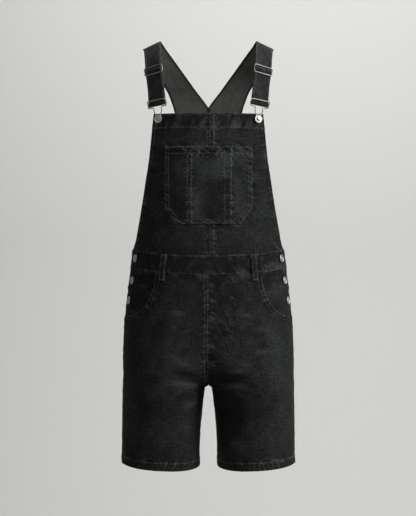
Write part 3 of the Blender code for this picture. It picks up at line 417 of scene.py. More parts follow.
def wall(name, outer, normals, thickness, finish, materials, u=None, v=None, fromSide=False):
    # a cloth wall with rounded edges: right side, wrong side and the fold between them
    rows, cols = outer.shape[:2]
    thick = thickness * np.ones((rows, cols))
    inner = outer - normals * thick[..., None]
    ring = [(0, c) for c in range(cols - 1)] + [(r, cols - 1) for r in range(rows - 1)]
    ring += [(rows - 1, c) for c in range(cols - 1, 0, -1)] + [(r, 0) for r in range(rows - 1, 0, -1)]
    ring = np.array(ring)
    near = np.stack([np.clip(ring[:, 0], 1, rows - 2), np.clip(ring[:, 1], 1, cols - 2)], axis=1)
    edge = outer[ring[:, 0], ring[:, 1]]
    away = edge - outer[near[:, 0], near[:, 1]]
    away /= np.maximum(np.linalg.norm(away, axis=1, keepdims=True), 1e-9)
    rim = (edge + inner[ring[:, 0], ring[:, 1]]) / 2
    rim = rim + away * (thick[ring[:, 0], ring[:, 1]] * 0.28)[:, None]
    count = rows * cols
    r, c = np.meshgrid(np.arange(rows - 1), np.arange(cols - 1), indexing="ij")
    a = (r * cols + c).ravel()
    quads = np.stack([a, a + cols, a + cols + 1, a + 1], axis=1)
    back = quads[:, ::-1] + count
    e = ring[:, 0] * cols + ring[:, 1]
    f = np.roll(e, -1)
    g = 2 * count + np.arange(len(e))
    h = np.roll(g, -1)
    lip = np.concatenate([np.stack([e, f, h, g], axis=1), np.stack([g, h, f + count, e + count], axis=1)])
    faces = np.concatenate([quads, lip, back])
    facing = np.cross(outer[1, 0] - outer[0, 0], outer[0, 1] - outer[0, 0]) @ normals[0, 0]
    if facing < 0:
        faces = faces[:, ::-1]
    slots = np.concatenate([np.zeros(len(quads) + len(lip)), np.ones(len(back))])
    if u is None:
        # girth from the first column, or from the side seam where the rows start at the inseam
        step = np.hypot(np.diff(outer[..., 0], axis=1), np.diff(outer[..., 1], axis=1))
        u = np.pad(np.cumsum(step, axis=1), [(0, 0), (1, 0)])
        u = u - u[:, -1:] if fromSide else u
    flatUv = np.stack([u, -outer[..., 2] if v is None else v], axis=-1).reshape(-1, 2)
    uv = np.concatenate([flatUv, flatUv, flatUv[e]])
    wear, lines = finish[0].ravel(), finish[1].reshape(-1, 3)
    wear, lines = np.concatenate([wear, wear, wear[e]]), np.concatenate([lines, lines, lines[e]])
    points = np.concatenate([outer.reshape(-1, 3), inner.reshape(-1, 3), rim])
    obj = meshObject(name, points, faces.tolist(), materials, slots, uv, wear, lines)
    width, length = lengths(outer, 1)[:, -1].max(), lengths(outer, 0)[-1].max()
    side1, side2 = np.diff(outer, axis=0)[:, :-1], np.diff(outer, axis=1)[:-1]
    area = float(np.linalg.norm(np.cross(side1, side2), axis=-1).sum())
    obj["cutWidth"], obj["cutLength"], obj["cutArea"] = float(width), float(length), area
    return obj


class Threads:
    # stitches as short raised capsules, gathered into one mesh for each part of the garment
    def __init__(self, seed=1):
        self.blocks, self.random = [], np.random.default_rng(seed)

    def add(self, start, end, normal, radius):
        along = end - start
        size = np.linalg.norm(along, axis=1, keepdims=True)
        along = along / np.maximum(size, 1e-9)
        across = np.cross(normal, along)
        across /= np.maximum(np.linalg.norm(across, axis=1, keepdims=True), 1e-9)
        up = np.cross(along, across)
        self.blocks.append(((start + end) / 2, along * size / 2, across, up, radius))

    def run(self, points, normals, length=0.0027, gap=0.0009, radius=0.00040, lift=0.00014):
        step = np.linalg.norm(np.diff(points, axis=0), axis=1)
        reach = np.concatenate([[0], np.cumsum(step)])
        count = int(reach[-1] / (length + gap))
        if count < 1:
            return
        pitch = reach[-1] / count
        first = pitch * np.arange(count)
        first = first + self.random.uniform(-0.0001, 0.0001, count)
        last = first + pitch - gap * self.random.uniform(0.8, 1.2, count)

        def at(s, values):
            return np.stack([np.interp(s, reach, values[:, i]) for i in range(3)], axis=1)

        normal = at((first + last) / 2, normals)
        start, end = at(first, points) + normal * lift, at(last, points) + normal * lift
        sway = np.cross(normal, end - start)
        sway /= np.maximum(np.linalg.norm(sway, axis=1, keepdims=True), 1e-9)
        start = start + sway * self.random.normal(0, 0.00006, (count, 1))
        end = end + sway * self.random.normal(0, 0.00006, (count, 1))
        self.add(start, end, normal, radius)

    def tack(self, centre, along, across, normal, long=0.010, wide=0.0018, count=16):
        # a bar tack: close stitches side by side
        t = (np.arange(count) / (count - 1) - 0.5) * long
        lean = long / count * 0.8
        start = centre + np.outer(t - lean, along) - across * wide / 2 + normal * 0.00022
        end = centre + np.outer(t + lean, along) + across * wide / 2 + normal * 0.00022
        self.add(start, end, np.tile(normal, (count, 1)), 0.00036)

    def build(self, name, material):
        places, radii = np.array([-1.0, -0.72, 0.0, 0.72, 1.0]), np.array([0.0, 0.8, 1.0, 0.8, 0.0])
        sink = np.array([-0.9, -0.25, 0.0, -0.25, -0.9])
        turn = 2 * math.pi * np.arange(5) / 5
        template = [(places[0], 0.0, sink[0])]
        for i in (1, 2, 3):
            template += [(places[i], radii[i] * math.cos(t), radii[i] * math.sin(t) + sink[i]) for t in turn]
        template.append((places[4], 0.0, sink[4]))
        template = np.array(template)
        faces = [(0, 1 + (k + 1) % 5, 1 + k) for k in range(5)]
        for i in (0, 1):
            faces += [(1 + 5 * i + k, 1 + 5 * i + (k + 1) % 5, 6 + 5 * i + (k + 1) % 5, 6 + 5 * i + k)
                      for k in range(5)]
        faces += [(11 + k, 11 + (k + 1) % 5, 16) for k in range(5)]
        points, every, base = [], [], 0
        for centre, half, across, up, radius in self.blocks:
            p = (centre[:, None] + half[:, None] * template[None, :, 0, None]
                 + across[:, None] * (template[None, :, 1, None] * radius)
                 + up[:, None] * (template[None, :, 2, None] * radius))
            points.append(p.reshape(-1, 3))
            for i in range(len(centre)):
                every += [tuple(v + base + 17 * i for v in f) for f in faces]
            base += 17 * len(centre)
        return meshObject(name, np.concatenate(points), every, [material])


class Value:
    # one socket of a shader, so that sums and products can be written as they are said
    def __init__(self, shade, socket):
        self.shade, self.socket = shade, socket

    def maths(self, kind, other=0.0, swap=False):
        pair = (other, self) if swap else (self, other)
        return self.shade.node("ShaderNodeMath", {"operation": kind}, {0: pair[0], 1: pair[1]})

    def __add__(self, other):
        return self.maths("ADD", other)

    def __sub__(self, other):
        return self.maths("SUBTRACT", other)

    def __rsub__(self, other):
        return self.maths("SUBTRACT", other, swap=True)

    def __mul__(self, other):
        return self.maths("MULTIPLY", other)

    def __truediv__(self, other):
        return self.maths("DIVIDE", other)

    def __pow__(self, other):
        return self.maths("POWER", other)

    __radd__, __rmul__ = __add__, __mul__

    def clipped(self):
        return self.shade.node("ShaderNodeClamp", {}, {"Value": self})


class Finish:
    # a material whose nodes are added by name, settings first, then sockets
    def __init__(self, name, **fixed):
        self.material = bpy.data.materials.new(name)
        self.material.use_nodes = True
        self.tree = self.material.node_tree
        self.shader = self.tree.nodes["Principled BSDF"]
        for socket, value in fixed.items():
            self.shader.inputs[socket.replace("_", " ")].default_value = value

    def put(self, socket, value):
        if isinstance(value, Value):
            self.tree.links.new(value.socket, socket)
        else:
            socket.default_value = value

    def node(self, kind, settings=None, sockets=None, out=0):
        made = self.tree.nodes.new(kind)
        for key, value in (settings or {}).items():
            if key == "stops":
                for i, (place, colour) in enumerate(value):
                    stop = made.color_ramp.elements[i] if i < 2 else made.color_ramp.elements.new(place)
                    stop.position, stop.color = place, colour
            else:
                setattr(made, key, value)
        for key, value in (sockets or {}).items():
            self.put(made.inputs[key], value)
        return Value(self, made.outputs[out])

    def mix(self, factor, first, second):
        made = self.tree.nodes.new("ShaderNodeMix")
        made.data_type = "RGBA"
        for index, value in ((0, factor), (6, first), (7, second)):
            self.put(made.inputs[index], value)
        return Value(self, made.outputs[2])

    def place(self, across, along, spin=0.0):
        # the cloth's own flat coordinates, in metres, stretched to cells of the given size
        flat = self.node("ShaderNodeUVMap", {"uv_map": "cloth"})
        return self.node("ShaderNodeMapping", {}, {
            "Vector": flat, "Rotation": (0, 0, spin), "Scale": (1 / across, 1 / along, 1)})

    def cloud(self, where, detail=2.0, rough=0.5):
        return self.node("ShaderNodeTexNoise", {}, {
            "Vector": where, "Scale": 1.0, "Detail": detail, "Roughness": rough})

    def feed(self, **sockets):
        for name, value in sockets.items():
            self.put(self.shader.inputs[name.replace("_", " ")], value)
        return self.material


denim = {"dark": (0.0058, 0.0062, 0.0064, 1), "pale": (0.076, 0.080, 0.080, 1),
         "wrongDark": (0.030, 0.0315, 0.031, 1), "wrongPale": (0.058, 0.060, 0.059, 1),
         "strapDark": (0.041, 0.042, 0.040, 1), "strapPale": (0.090, 0.091, 0.086, 1),
         "thread": (0.092, 0.094, 0.088, 1), "threadDark": (0.030, 0.031, 0.031, 1),
         "flyDark": (0.008, 0.008, 0.008, 1), "flyPale": (0.030, 0.031, 0.030, 1),
         "twill": 0.0011, "edgeWidth": 0.0019, "drawnWidth": 0.0110}


def denimFinish(name, wrong=False):
    made = Finish(name, Roughness=0.90)
    made.shader.inputs["Specular IOR Level"].default_value = 0.16
    streak = made.cloud(made.place(0.0014, 0.020), 3.0, 0.62)
    slub = made.cloud(made.place(0.0050, 0.0044), 5.0, 0.80)
    wash = made.cloud(made.place(0.032, 0.048), 3.0, 0.58)
    blotch = made.cloud(made.place(0.0048, 0.0048), 0.0, 0.5)
    # the per-point tone holds wear with painted highlight and painted shade from the relief and the fade table,
    # mixed straight into the colour
    wearAndLightTone = made.node("ShaderNodeAttribute", {"attribute_name": "wear"}, out=2)
    away = made.node("ShaderNodeAttribute", {"attribute_name": "lines"}, out=1)
    parts = [made.node("ShaderNodeSeparateXYZ", {}, {"Vector": away}, out=i).maths("ABSOLUTE") for i in range(3)]
    nearest = parts[0].maths("MINIMUM", parts[1]).maths("MINIMUM", parts[2])
    edge = (1.0 - nearest / denim["edgeWidth"]).clipped() * (slub * 1.5 - 0.10).clipped()
    beside = (1.05 - nearest / denim["drawnWidth"]).clipped()
    weft = made.cloud(made.place(0.0170, 0.0030), 2.0, 0.6)
    grain = streak * 0.7 + slub * 1.4 + weft * 0.6 - 1.35
    amount = wearAndLightTone * 0.52 + (wash - 0.5) * 0.42 + grain * 0.85 + edge * 0.52
    amount = (amount + beside * (blotch - 0.5) * 1.3 - beside * 0.03 + 0.01).clipped()
    dark, pale = (denim["wrongDark"], denim["wrongPale"]) if wrong else (denim["dark"], denim["pale"])
    colour = made.mix(amount ** 1.5, dark, pale)
    twillLine = made.node("ShaderNodeTexWave", {"wave_type": "BANDS", "bands_direction": "X"}, {
        "Vector": made.place(denim["twill"], denim["twill"], math.radians(27 if wrong else -63)),
        "Scale": 0.32, "Distortion": 0.6, "Detail": 1.0, "Detail Scale": 1.0})
    height = twillLine * 0.4 + slub * 0.8 + streak * 0.4 + beside * blotch * 1.2
    bump = made.node("ShaderNodeBump", {}, {"Strength": 0.55, "Distance": 0.0004, "Height": height})
    made.feed(Base_Color=colour, Roughness=0.96 - amount * 0.12, Normal=bump)
    return made.material


def threadFinish(name, dark, pale):
    made = Finish(name, Roughness=0.66)
    where = made.node("ShaderNodeTexCoord", {}, {}, out=3)
    uneven = made.node("ShaderNodeTexNoise", {}, {"Vector": where, "Scale": 90.0, "Detail": 2.0})
    ply = made.node("ShaderNodeTexWave", {"wave_type": "BANDS", "bands_direction": "DIAGONAL"}, {
        "Vector": where, "Scale": 900.0, "Distortion": 0.5})
    colour = made.mix(uneven, dark, pale)
    bump = made.node("ShaderNodeBump", {}, {"Strength": 0.25, "Distance": 0.0001, "Height": ply})
    return made.feed(Base_Color=colour, Normal=bump)


def metalFinish(name, colour, rough):
    made = Finish(name, Metallic=1.0)
    where = made.node("ShaderNodeTexCoord", {}, {}, out=3)
    haze = made.node("ShaderNodeTexNoise", {}, {"Vector": where, "Scale": 60.0, "Detail": 4.0})
    fine = made.node("ShaderNodeTexNoise", {}, {"Vector": where, "Scale": 900.0, "Detail": 3.0})
    worn = made.mix(haze, tuple(0.80 * c for c in colour) + (1,), tuple(colour) + (1,))
    bump = made.node("ShaderNodeBump", {}, {"Strength": 0.12, "Distance": 0.0001, "Height": fine})
    return made.feed(Base_Color=worn, Roughness=haze * 0.16 + fine * 0.06 + (rough - 0.11), Normal=bump)


denimRight = denimFinish("washedDenim")
denimWrong = denimFinish("denimWrongSide", wrong=True)
thread = threadFinish("threadGrey", denim["threadDark"], denim["thread"])
flyThread = threadFinish("threadBlack", denim["flyDark"], denim["flyPale"])
nickel = metalFinish("nickel", (0.50, 0.49, 0.46), 0.40)
wireNickel = metalFinish("wireNickel", (0.30, 0.292, 0.272), 0.46)
print("finishes made")


def keep(obj, nodes):
    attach(obj, "root")
    if nodes:
        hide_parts(*nodes)
    return obj


def declare(obj):
    # the flat cut is measured along the cloth, seam to seam
    width, length = round(obj["cutWidth"] + 0.001, 3), round(obj["cutLength"] + 0.001, 3)


def clothPiece(name, panel, angles, heights, thickness, fromSide=False):
    points, normals = panel.at(angles, heights)
    return wall(name, points, normals, thickness, panel.finish(angles, heights),
                [denimRight, denimWrong], fromSide=fromSide)


def fitTop(x, lowest, top, bottom, rows, back=False, edge=None, shares=None):
    # heights of columns at x between two edges that depend on the angle
    z = lowest + np.zeros((len(rows), len(x) if shares is None else len(shares)))
    for _ in range(5):
        if shares is not None:
            x = edge(z) * shares[None, :]
        angle = angleAtX(np.abs(x), z, back)
        z = top(angle) + (bottom(angle) - top(angle)) * rows[:, None]
    return x + 0 * z, angle, z


# The bib: two halves felled together down the centre
bib = {"fell": 0.0125, "fellRise": 0.0007, "sideHem": 0.0085, "hemStitches": (0.0022, 0.0285),
       "fellStitches": (0.0022, 0.0100), "sideStitches": (0.0070,), "cells": (84, 150)}


def bibEdgeDistance(x, z):
    return (bibSide(z) - np.abs(x)) * 1.25


def bibDetail(side):
    def detail(angle, z, point):
        x = np.abs(point[..., 0])
        below = cut["bibTopZ"] - z
        edge = bibEdgeDistance(x, z)
        built = ridge(below, -0.01, cut["bibHem"], 0.00035) + ridge(edge, -0.01, bib["sideHem"], 0.00030)
        drawn = pucker(below - 0.024, x * side, 21, 0.0075, 0.0095, 0.00060)
        drawn = drawn + pucker(below - 0.006, x * side, 20, 0.0065, 0.0080, 0.00045)
        drawn = drawn + pucker(edge - 0.0070, z, 22 + side, 0.0085, 0.0060, 0.00050)
        drawn = drawn + pucker(x - (0.010 if side > 0 else 0.0), z, 27, 0.0080, 0.0070, 0.00048)
        drawn = drawn + pocketShade(point) + waistGather(point, side)
        if side > 0:
            built = built + ridge(x, -0.01, bib["fell"], bib["fellRise"], 0.0010)
        fell = x - bib["fell"] if side > 0 else x + 0.0003
        return built, drawn, (np.minimum(below, edge), below - cut["bibHem"], fell)
    return detail


def waistGather(point, side):
    # the bib's lower corner is pulled towards the top button of the side opening
    across, up = bibSide(-0.452) - np.abs(point[..., 0]), point[..., 2] + 0.466
    turn, reach = np.arctan2(up, across), np.hypot(up, across)
    rays = noise(turn * 3.4, reach / 0.08, 28 + side)
    return 0.0011 * rays * hill(reach - 0.022, 0.020) * ease(reach / 0.012)


# The pocket on the bib: a band, two felled seams and cut-off lower corners
pocket = {"topZ": -0.2350, "band": 0.0160, "cornerZ": -0.3645, "bottomZ": -0.3978,
          "halfWidth": 0.0919, "footHalfWidth": 0.0682, "fell": (0.0355, 0.0485),
          "divisions": (-0.0440, -0.0365, 0.0349, 0.0466), "cells": (112, 96)}


def pocketOutside(x, z):
    # distance in from the pocket's edge, below zero outside it
    x = np.abs(x)
    slope = (pocket["halfWidth"] - pocket["footHalfWidth"]) / (pocket["cornerZ"] - pocket["bottomZ"])
    leanX = pocket["footHalfWidth"] + slope * (z - pocket["bottomZ"])
    chamfer = (leanX - x) / math.hypot(1, slope)
    return np.minimum(np.minimum(pocket["halfWidth"] - x, z - pocket["bottomZ"]),
                      np.minimum(chamfer, pocket["topZ"] - z))


def pocketShade(point):
    # the bib draws up where the pocket is sewn to it
    inside = pocketOutside(point[..., 0], point[..., 2])
    along = point[..., 0] + 1.7 * point[..., 2]
    front = ease(-point[..., 1] / 0.04)
    return pucker(inside + 0.002, along, 31, 0.0110, 0.0070, 0.00040) * front


def pocketDetail(angle, z, point):
    x = point[..., 0]
    inside = pocketOutside(x, z)
    below = pocket["topZ"] - z
    built = ridge(below, -0.01, pocket["band"], 0.0008, 0.0010) + ridge(inside, -0.01, 0.0095, 0.00025, 0.0015)
    drawn = pucker(inside - 0.005, x + 1.7 * z, 33, 0.0075, 0.0080, 0.00055)
    drawn = drawn + pucker(below - 0.0130, x, 35, 0.0075, 0.0070, 0.00060)
    drawn = drawn + noise(x / 0.030, z / 0.040, 44) * 0.0006 * ease(inside / 0.015)
    welts = np.ones(x.shape)
    for first, last, seed in ((0, 1, 37), (2, 3, 39)):
        low, high = pocket["divisions"][first] - 0.0015, pocket["divisions"][last] + 0.0015
        built = built + ridge(x, low, high, 0.0005, 0.0010)
        welt = np.abs(x - (low + high) / 2) - (high - low) / 2
        welts = np.where(np.abs(welt) < np.abs(welts), welt, welts)
        drawn = drawn + pucker(welt + 0.002, z, seed, 0.0070, 0.0060, 0.00038)
    return built, drawn, (inside, below - pocket["band"], welts)


def makeBib():
    threads = Threads(11)
    across, down = bib["cells"]
    rows = np.linspace(0, 1, down)
    made = []
    for side, word in ((1, "left"), (-1, "right")):
        panel = Panel(side, detail=bibDetail(side))
        shares = np.linspace(0, 1, across)
        z = np.full((down, across), cut["bibTopZ"])
        for _ in range(6):
            edge = bibSide(z)
            x = cut["gap"] / 2 + (edge - cut["gap"] / 2) * shares[None, :]
            angle = angleAtX(x, z)
            z = cut["bibTopZ"] + (bandTop(angle) + cut["gap"] - cut["bibTopZ"]) * rows[:, None]
        below, edge = cut["bibTopZ"] - z, bibEdgeDistance(x, z)
        turned = np.maximum(ease((cut["bibHem"] - below) / 0.002), ease((bib["sideHem"] - edge) / 0.002))
        obj = clothPiece("bibHalf" + word.capitalize(), panel, angle, z, cut["cloth"] + turned * cut["turned"])
        made.append(keep(obj, ["bib_" + word]))
        for depth in bib["hemStitches"]:
            lineX = np.linspace(0.0005, float(bibSide(cut["bibTopZ"] - depth)) - 0.002, 60)
            lineZ = np.full_like(lineX, cut["bibTopZ"] - depth)
            threads.run(*panel.at(angleAtX(lineX, lineZ), lineZ))
        for inset in bib["sideStitches"]:
            lineZ = np.linspace(cut["bibTopZ"] - 0.002, -0.4500, 160)
            lineX = bibSide(lineZ) - inset / 1.25
            threads.run(*panel.at(angleAtX(lineX, lineZ), lineZ))
        if side > 0:
            for lineX in bib["fellStitches"]:
                for top, foot in ((cut["bibTopZ"] - 0.001, pocket["topZ"]), (pocket["bottomZ"], -0.4640)):
                    lineZ = np.linspace(top, foot, 80)
                    threads.run(*panel.at(angleAtX(np.full_like(lineZ, lineX), lineZ), lineZ))
    return made, threads


def makePocket(threads):
    across, down = pocket["cells"]
    lift = cut["cloth"] + cut["gap"] + bib["fellRise"] + 0.0001
    panel = Panel(1, lambda a, z, p: lift, pocketDetail)
    rows = np.linspace(0, 1, down)
    z = pocket["topZ"] + (pocket["bottomZ"] - pocket["topZ"]) * np.repeat(rows[:, None], across, axis=1)
    below = np.clip((pocket["cornerZ"] - z) / (pocket["cornerZ"] - pocket["bottomZ"]), 0, 1)
    reach = pocket["halfWidth"] + (pocket["footHalfWidth"] - pocket["halfWidth"]) * below
    x = np.linspace(-1, 1, across)[None, :] * reach
    angle = np.sign(x) * angleAtX(np.abs(x), z)
    inBand = ease((pocket["band"] - (pocket["topZ"] - z)) / 0.002)
    obj = clothPiece("bibPocket", panel, angle, z, cut["cloth"] + inBand * 0.0008)
    keep(obj, ["bib_pocket"])

    def sew(xs, zs):
        xs, zs = np.broadcast_arrays(xs, zs)
        threads.run(*panel.at(np.sign(xs) * angleAtX(np.abs(xs), zs), zs))

    for depth in (0.0022, 0.0140):
        sew(np.linspace(-pocket["halfWidth"] + 0.002, pocket["halfWidth"] - 0.002, 90), pocket["topZ"] - depth)
    for inset in (0.0022, 0.0080):
        half, foot = pocket["halfWidth"] - inset, pocket["footHalfWidth"] - inset * 0.55
        cornerZ, low = pocket["cornerZ"] + inset * 0.35, pocket["bottomZ"] + inset
        outline = [(-half, pocket["topZ"] - 0.001), (-half, cornerZ), (-foot, low), (foot, low),
                   (half, cornerZ), (half, pocket["topZ"] - 0.001)]
        for (x0, z0), (x1, z1) in zip(outline, outline[1:]):
            sew(np.linspace(x0, x1, 60), np.linspace(z0, z1, 60))
    for line in pocket["divisions"]:
        sew(np.full(60, line), np.linspace(pocket["topZ"] - 0.016, pocket["bottomZ"] + 0.0010, 60))
    for side in (-1, 1):
        spot = np.array([side * (pocket["halfWidth"] - 0.0050)])
        height = np.array([pocket["topZ"] - 0.0040])
        point, normal = panel.at(np.sign(spot) * angleAtX(np.abs(spot), height), height)
        threads.tack(point[0], np.array([0, 0, 1.0]), np.array([1.0, 0, 0]), normal[0], 0.006)
    return obj


def waistDetail(angle, z, point):
    top, foot = bandTop(angle) - z, z - bandBottom(angle)
    along = angle * 0.14
    drawn = pucker(top - 0.004, along, 51, 0.0068, 0.0090, 0.00052)
    drawn = drawn + pucker(foot - 0.004, along, 52, 0.0068, 0.0090, 0.00052)
    drawn = drawn + 0.00036 * noise((along + 0.5 * z) / 0.0062, (0.3 * along - z) / 0.0075, 53)
    built = -0.00035 * hill(top - 0.0022, 0.0010) - 0.00035 * hill(foot - 0.0022, 0.0010)
    return built, drawn, (np.minimum(top, foot),)


waist = {"cells": (300, 28), "stitches": (0.0022, 0.0383)}


def makeWaistbands():
    threads = Threads(12)
    across, down = waist["cells"]
    made = []
    for word, back in (("front", False), ("back", True)):
        panel = Panel(1, lambda a, z, p: cut["bandProud"], waistDetail, 0.13)
        spread = np.linspace(-1, 1, across)
        if back:
            angle = math.pi + spread * (math.pi - sideAngle(cut["waistSideZ"], back=True))
        else:
            angle = spread * sideAngle(cut["waistSideZ"])
        angles = np.repeat(angle[None, :], down, axis=0)
        z = bandTop(angles) - cut["bandHeight"] * np.linspace(0, 1, down)[:, None]
        obj = clothPiece(word + "Waistband", panel, angles, z, cut["band"])
        made.append(keep(obj, [word + "_waistband"]))
        line = np.linspace(angle[0] + 0.01, angle[-1] - 0.01, 400)
        for depth in waist["stitches"]:
            threads.run(*panel.at(line, bandTop(line) - depth))
    return made, threads


# The back panel: narrow between the shoulder blades, full width at the waist
backPanel = {"cells": (110, 130), "sideStitch": 0.0070, "seamStitches": (0.0025, 0.0085)}


def backDetail(angle, z, point):
    edge = (backSide(z) - np.abs(point[..., 0])) * 1.15
    below = cut["backSeamZ"] - z
    built = ridge(edge, -0.01, 0.0085, 0.0003, 0.0012) + ridge(below, -0.01, 0.0100, 0.0004, 0.0012)
    drawn = pucker(edge - 0.006, z + np.sign(point[..., 0]), 61, 0.0085, 0.0060, 0.00050)
    drawn = drawn + pucker(below - 0.005, point[..., 0], 62, 0.0085, 0.0070, 0.00050)
    return built, drawn, (np.minimum(edge, below), below - 0.0100)


def makeBackPanel():
    threads = Threads(13)
    across, down = backPanel["cells"]
    rows, shares = np.linspace(0, 1, down), np.linspace(-1, 1, across)
    top = cut["backSeamZ"] - cut["gap"]
    z = np.full((down, across), top)
    for _ in range(6):
        x = backSide(z) * shares[None, :]
        turn = angleAtX(np.abs(x), z, back=True)
        z = top + (bandTop(turn) + cut["gap"] - top) * rows[:, None]
    angle = math.pi + np.sign(-x) * (math.pi - turn)
    panel = Panel(1, None, backDetail)
    edge = (backSide(z) - np.abs(x)) * 1.15
    thickness = cut["cloth"] + ease((0.0085 - edge) / 0.002) * cut["turned"]
    obj = clothPiece("backPanel", panel, angle[:, ::-1], z[:, ::-1], thickness[:, ::-1])
    keep(obj, ["back_bib"])
    for side in (-1, 1):
        lineZ = np.linspace(top - 0.001, cut["waistSideZ"] + 0.004, 160)
        turn = angleAtX(backSide(lineZ) - backPanel["sideStitch"] / 1.15, lineZ, back=True)
        threads.run(*panel.at(math.pi - side * (math.pi - turn), lineZ))
    for depth in backPanel["seamStitches"]:
        lineX = np.linspace(-0.066, 0.066, 90)
        lineZ = np.full_like(lineX, top - depth)
        turn = angleAtX(np.abs(lineX), lineZ, back=True)
        threads.run(*panel.at(math.pi + np.sign(-lineX) * (math.pi - turn), lineZ))
    return obj, threads


# The legs, with the scooped pocket mouths cut into the front ones
scoop = {"centreX": 0.1835, "centreZ": -0.5100, "width": 0.0700, "depth": 0.0870,
         "stitches": (0.0022, 0.0085), "facingFootZ": -0.6110, "facingRise": 0.0200}
leg = {"edgeColumns": (46, 31, 35), "upperRows": 52, "crotchRows": 44, "lowerRows": 70, "hemStitch": 0.0160,
       "riseStitches": (0.0024, 0.0075), "flyWidth": 0.0495, "flyFootZ": -0.6950}


def mouthDistance(x, z):
    # how far outside the pocket mouth a point of the front lies
    u, v = (np.abs(x) - scoop["centreX"]) / scoop["width"], (z - scoop["centreZ"]) / scoop["depth"]
    reach = np.maximum(np.hypot(u, v), 1e-3)
    steep = np.hypot(u / scoop["width"], v / scoop["depth"]) / reach
    return (reach - 1) / np.maximum(steep, 1e-3)


def flyLine(count=120):
    # the mock fly's stitching: straight down, then round to the centre seam
    width, foot = leg["flyWidth"], leg["flyFootZ"]
    straight = np.linspace(-0.5040, foot + 0.055, count // 2)
    turn = np.linspace(0, math.pi / 2, count // 2)
    x = np.concatenate([width + 0 * straight, 0.001 + (width - 0.001) * np.cos(turn)])
    z = np.concatenate([straight, foot + 0.055 - 0.055 * np.sin(turn)])
    return x, z


def legDetail(side, back):
    def detail(angle, z, point):
        x, y = np.abs(point[..., 0]), np.abs(point[..., 1])
        seed = 70 + 7 * side + (20 if back else 0)
        outside = ease((x - 0.10) / 0.03)
        above = ease((z - cut["crotchZ"]) / 0.010)
        inside = (1 - outside) * ease((cut["crotchZ"] + 0.004 - z) / 0.010)
        drawn = pucker(y - 0.009, z, seed, 0.0110, 0.0065, 0.00035) * outside
        drawn = drawn + pucker(y - 0.009, z, seed + 1, 0.0110, 0.0070, 0.00040) * inside
        drawn = drawn + pucker(x - 0.005, z, seed + 2, 0.0085, 0.0080, 0.00055) * above
        built = ridge(y, -0.01, 0.0080, 0.0004, 0.0015) * outside * (0 if back else 1)
        fell = np.ones(x.shape)
        if (side < 0) != back:
            built = built + ridge(x, -0.01, 0.0090, 0.0005, 0.0012) * above
            fell = np.where(above > 0.5, x - 0.0090, 1.0)
        up = z - hemHeight(angle)
        roping = np.sin((angle * 0.09 + up * 0.55) / 0.0105 * 2 * math.pi + 1.6 * noise(angle * 9, up * 0, seed + 3))
        inHem = ridge(up, -0.01, 0.0165, 1.0, 0.0015)
        built = built + inHem * 0.00040
        drawn = drawn + inHem * 0.00045 * roping * hill(up - 0.008, 0.007)
        drawn = drawn + pucker(up - 0.016, angle * 0.10, seed + 4, 0.0095, 0.0070, 0.00050)
        topEdge = bandBottom(angle) - z
        drawn = drawn + pucker(topEdge, angle * 0.14, seed + 5, 0.0110, 0.0110, 0.00060)
        border = np.minimum(np.where(outside > 0.5, y, np.where(z > cut["crotchZ"], x, y)), up)
        if not back:
            mouth = mouthDistance(x, z)
            near = ease((x - 0.09) / 0.02) * ease((z + 0.62) / 0.01)
            built = built + near * ridge(mouth, -0.01, 0.0105, 0.0005, 0.0012)
            drawn = drawn + near * pucker(mouth - 0.005, x - z, seed + 6, 0.0090, 0.0080, 0.00055)
            border = np.where(near > 0.5, np.minimum(border, mouth), border)
            if side > 0:
                fell, flyDrawn, flyBuilt = flyRelief(x, z)
                built, drawn = built + flyBuilt, drawn + flyDrawn
        return built, drawn, (border, fell, up - 0.0165)
    return detail


def flyRelief(x, z):
    # the mock fly: a lined part that has drawn up all over inside its curved row of stitches
    flyX, flyZ = flyLine(60)
    away = np.min(np.hypot(x[..., None] - flyX, z[..., None] - flyZ), axis=-1)
    edgeX = np.interp(-z, -flyZ, flyX, left=leg["flyWidth"], right=0.0)
    within = ease((edgeX - x) / 0.005) * ease((z - leg["flyFootZ"]) / 0.01)
    drawn = pucker(away, x + 1.3 * z, 83, 0.0075, 0.0060, 0.00045)
    drawn = drawn + 0.00050 * noise(x / 0.0078, (z + 0.35 * x) / 0.0052, 84) * within
    return away + 0.0016, drawn, 0.0003 * within


def hemHeight(angle):
    sine, cosine = np.sin(angle), np.cos(angle)
    return cut["hemZ"] + cut["hemRise"] * (1 + sine) / 2 - np.where(cosine > 0, cut["hemDip"], 0) * np.abs(cosine)


def legGrid(topAngles, topHeights, back):
    columns = np.linspace(0, 1, len(topAngles))
    start = middleAngle(topHeights[0], back)
    shareTop = (topAngles - start) / (sideAngle(topHeights, back) - start)
    upper = np.linspace(topHeights[0], cut["flyZ"], leg["upperRows"])
    parted = np.sin(np.linspace(0, math.pi / 2, leg["crotchRows"] + 1)[1:])
    down = (1 - (1 - parted) ** (1 / cut["partEnd"])) ** (1 / cut["partStart"])
    centre = np.concatenate([upper, cut["flyZ"] + (cut["crotchZ"] - cut["flyZ"]) * down])
    v = ((topHeights[0] - centre) / (topHeights[0] - cut["crotchZ"]))[:, None]
    upperZ = topHeights[None, :] + (cut["crotchZ"] - topHeights[None, :]) * v
    inner = middleAngle(centre, back)[:, None]
    upperAngle = inner + (shareTop + (columns - shareTop) * v) * (sideAngle(upperZ, back) - inner)
    foot = hemHeight(middleAngle(cut["hemZ"], back))
    v = (np.linspace(0, 1, leg["lowerRows"] + 1)[1:] ** 1.25)[:, None]
    lineZ = cut["crotchZ"] + (foot - cut["crotchZ"]) * v
    inner, outer = middleAngle(lineZ, back), sideAngle(lineZ, back)
    lowerAngle = inner + columns[None, :] * (outer - inner)
    lowerZ = cut["crotchZ"] + (hemHeight(lowerAngle) - cut["crotchZ"]) * v
    return np.concatenate([upperAngle, lowerAngle]), np.concatenate([upperZ, lowerZ])


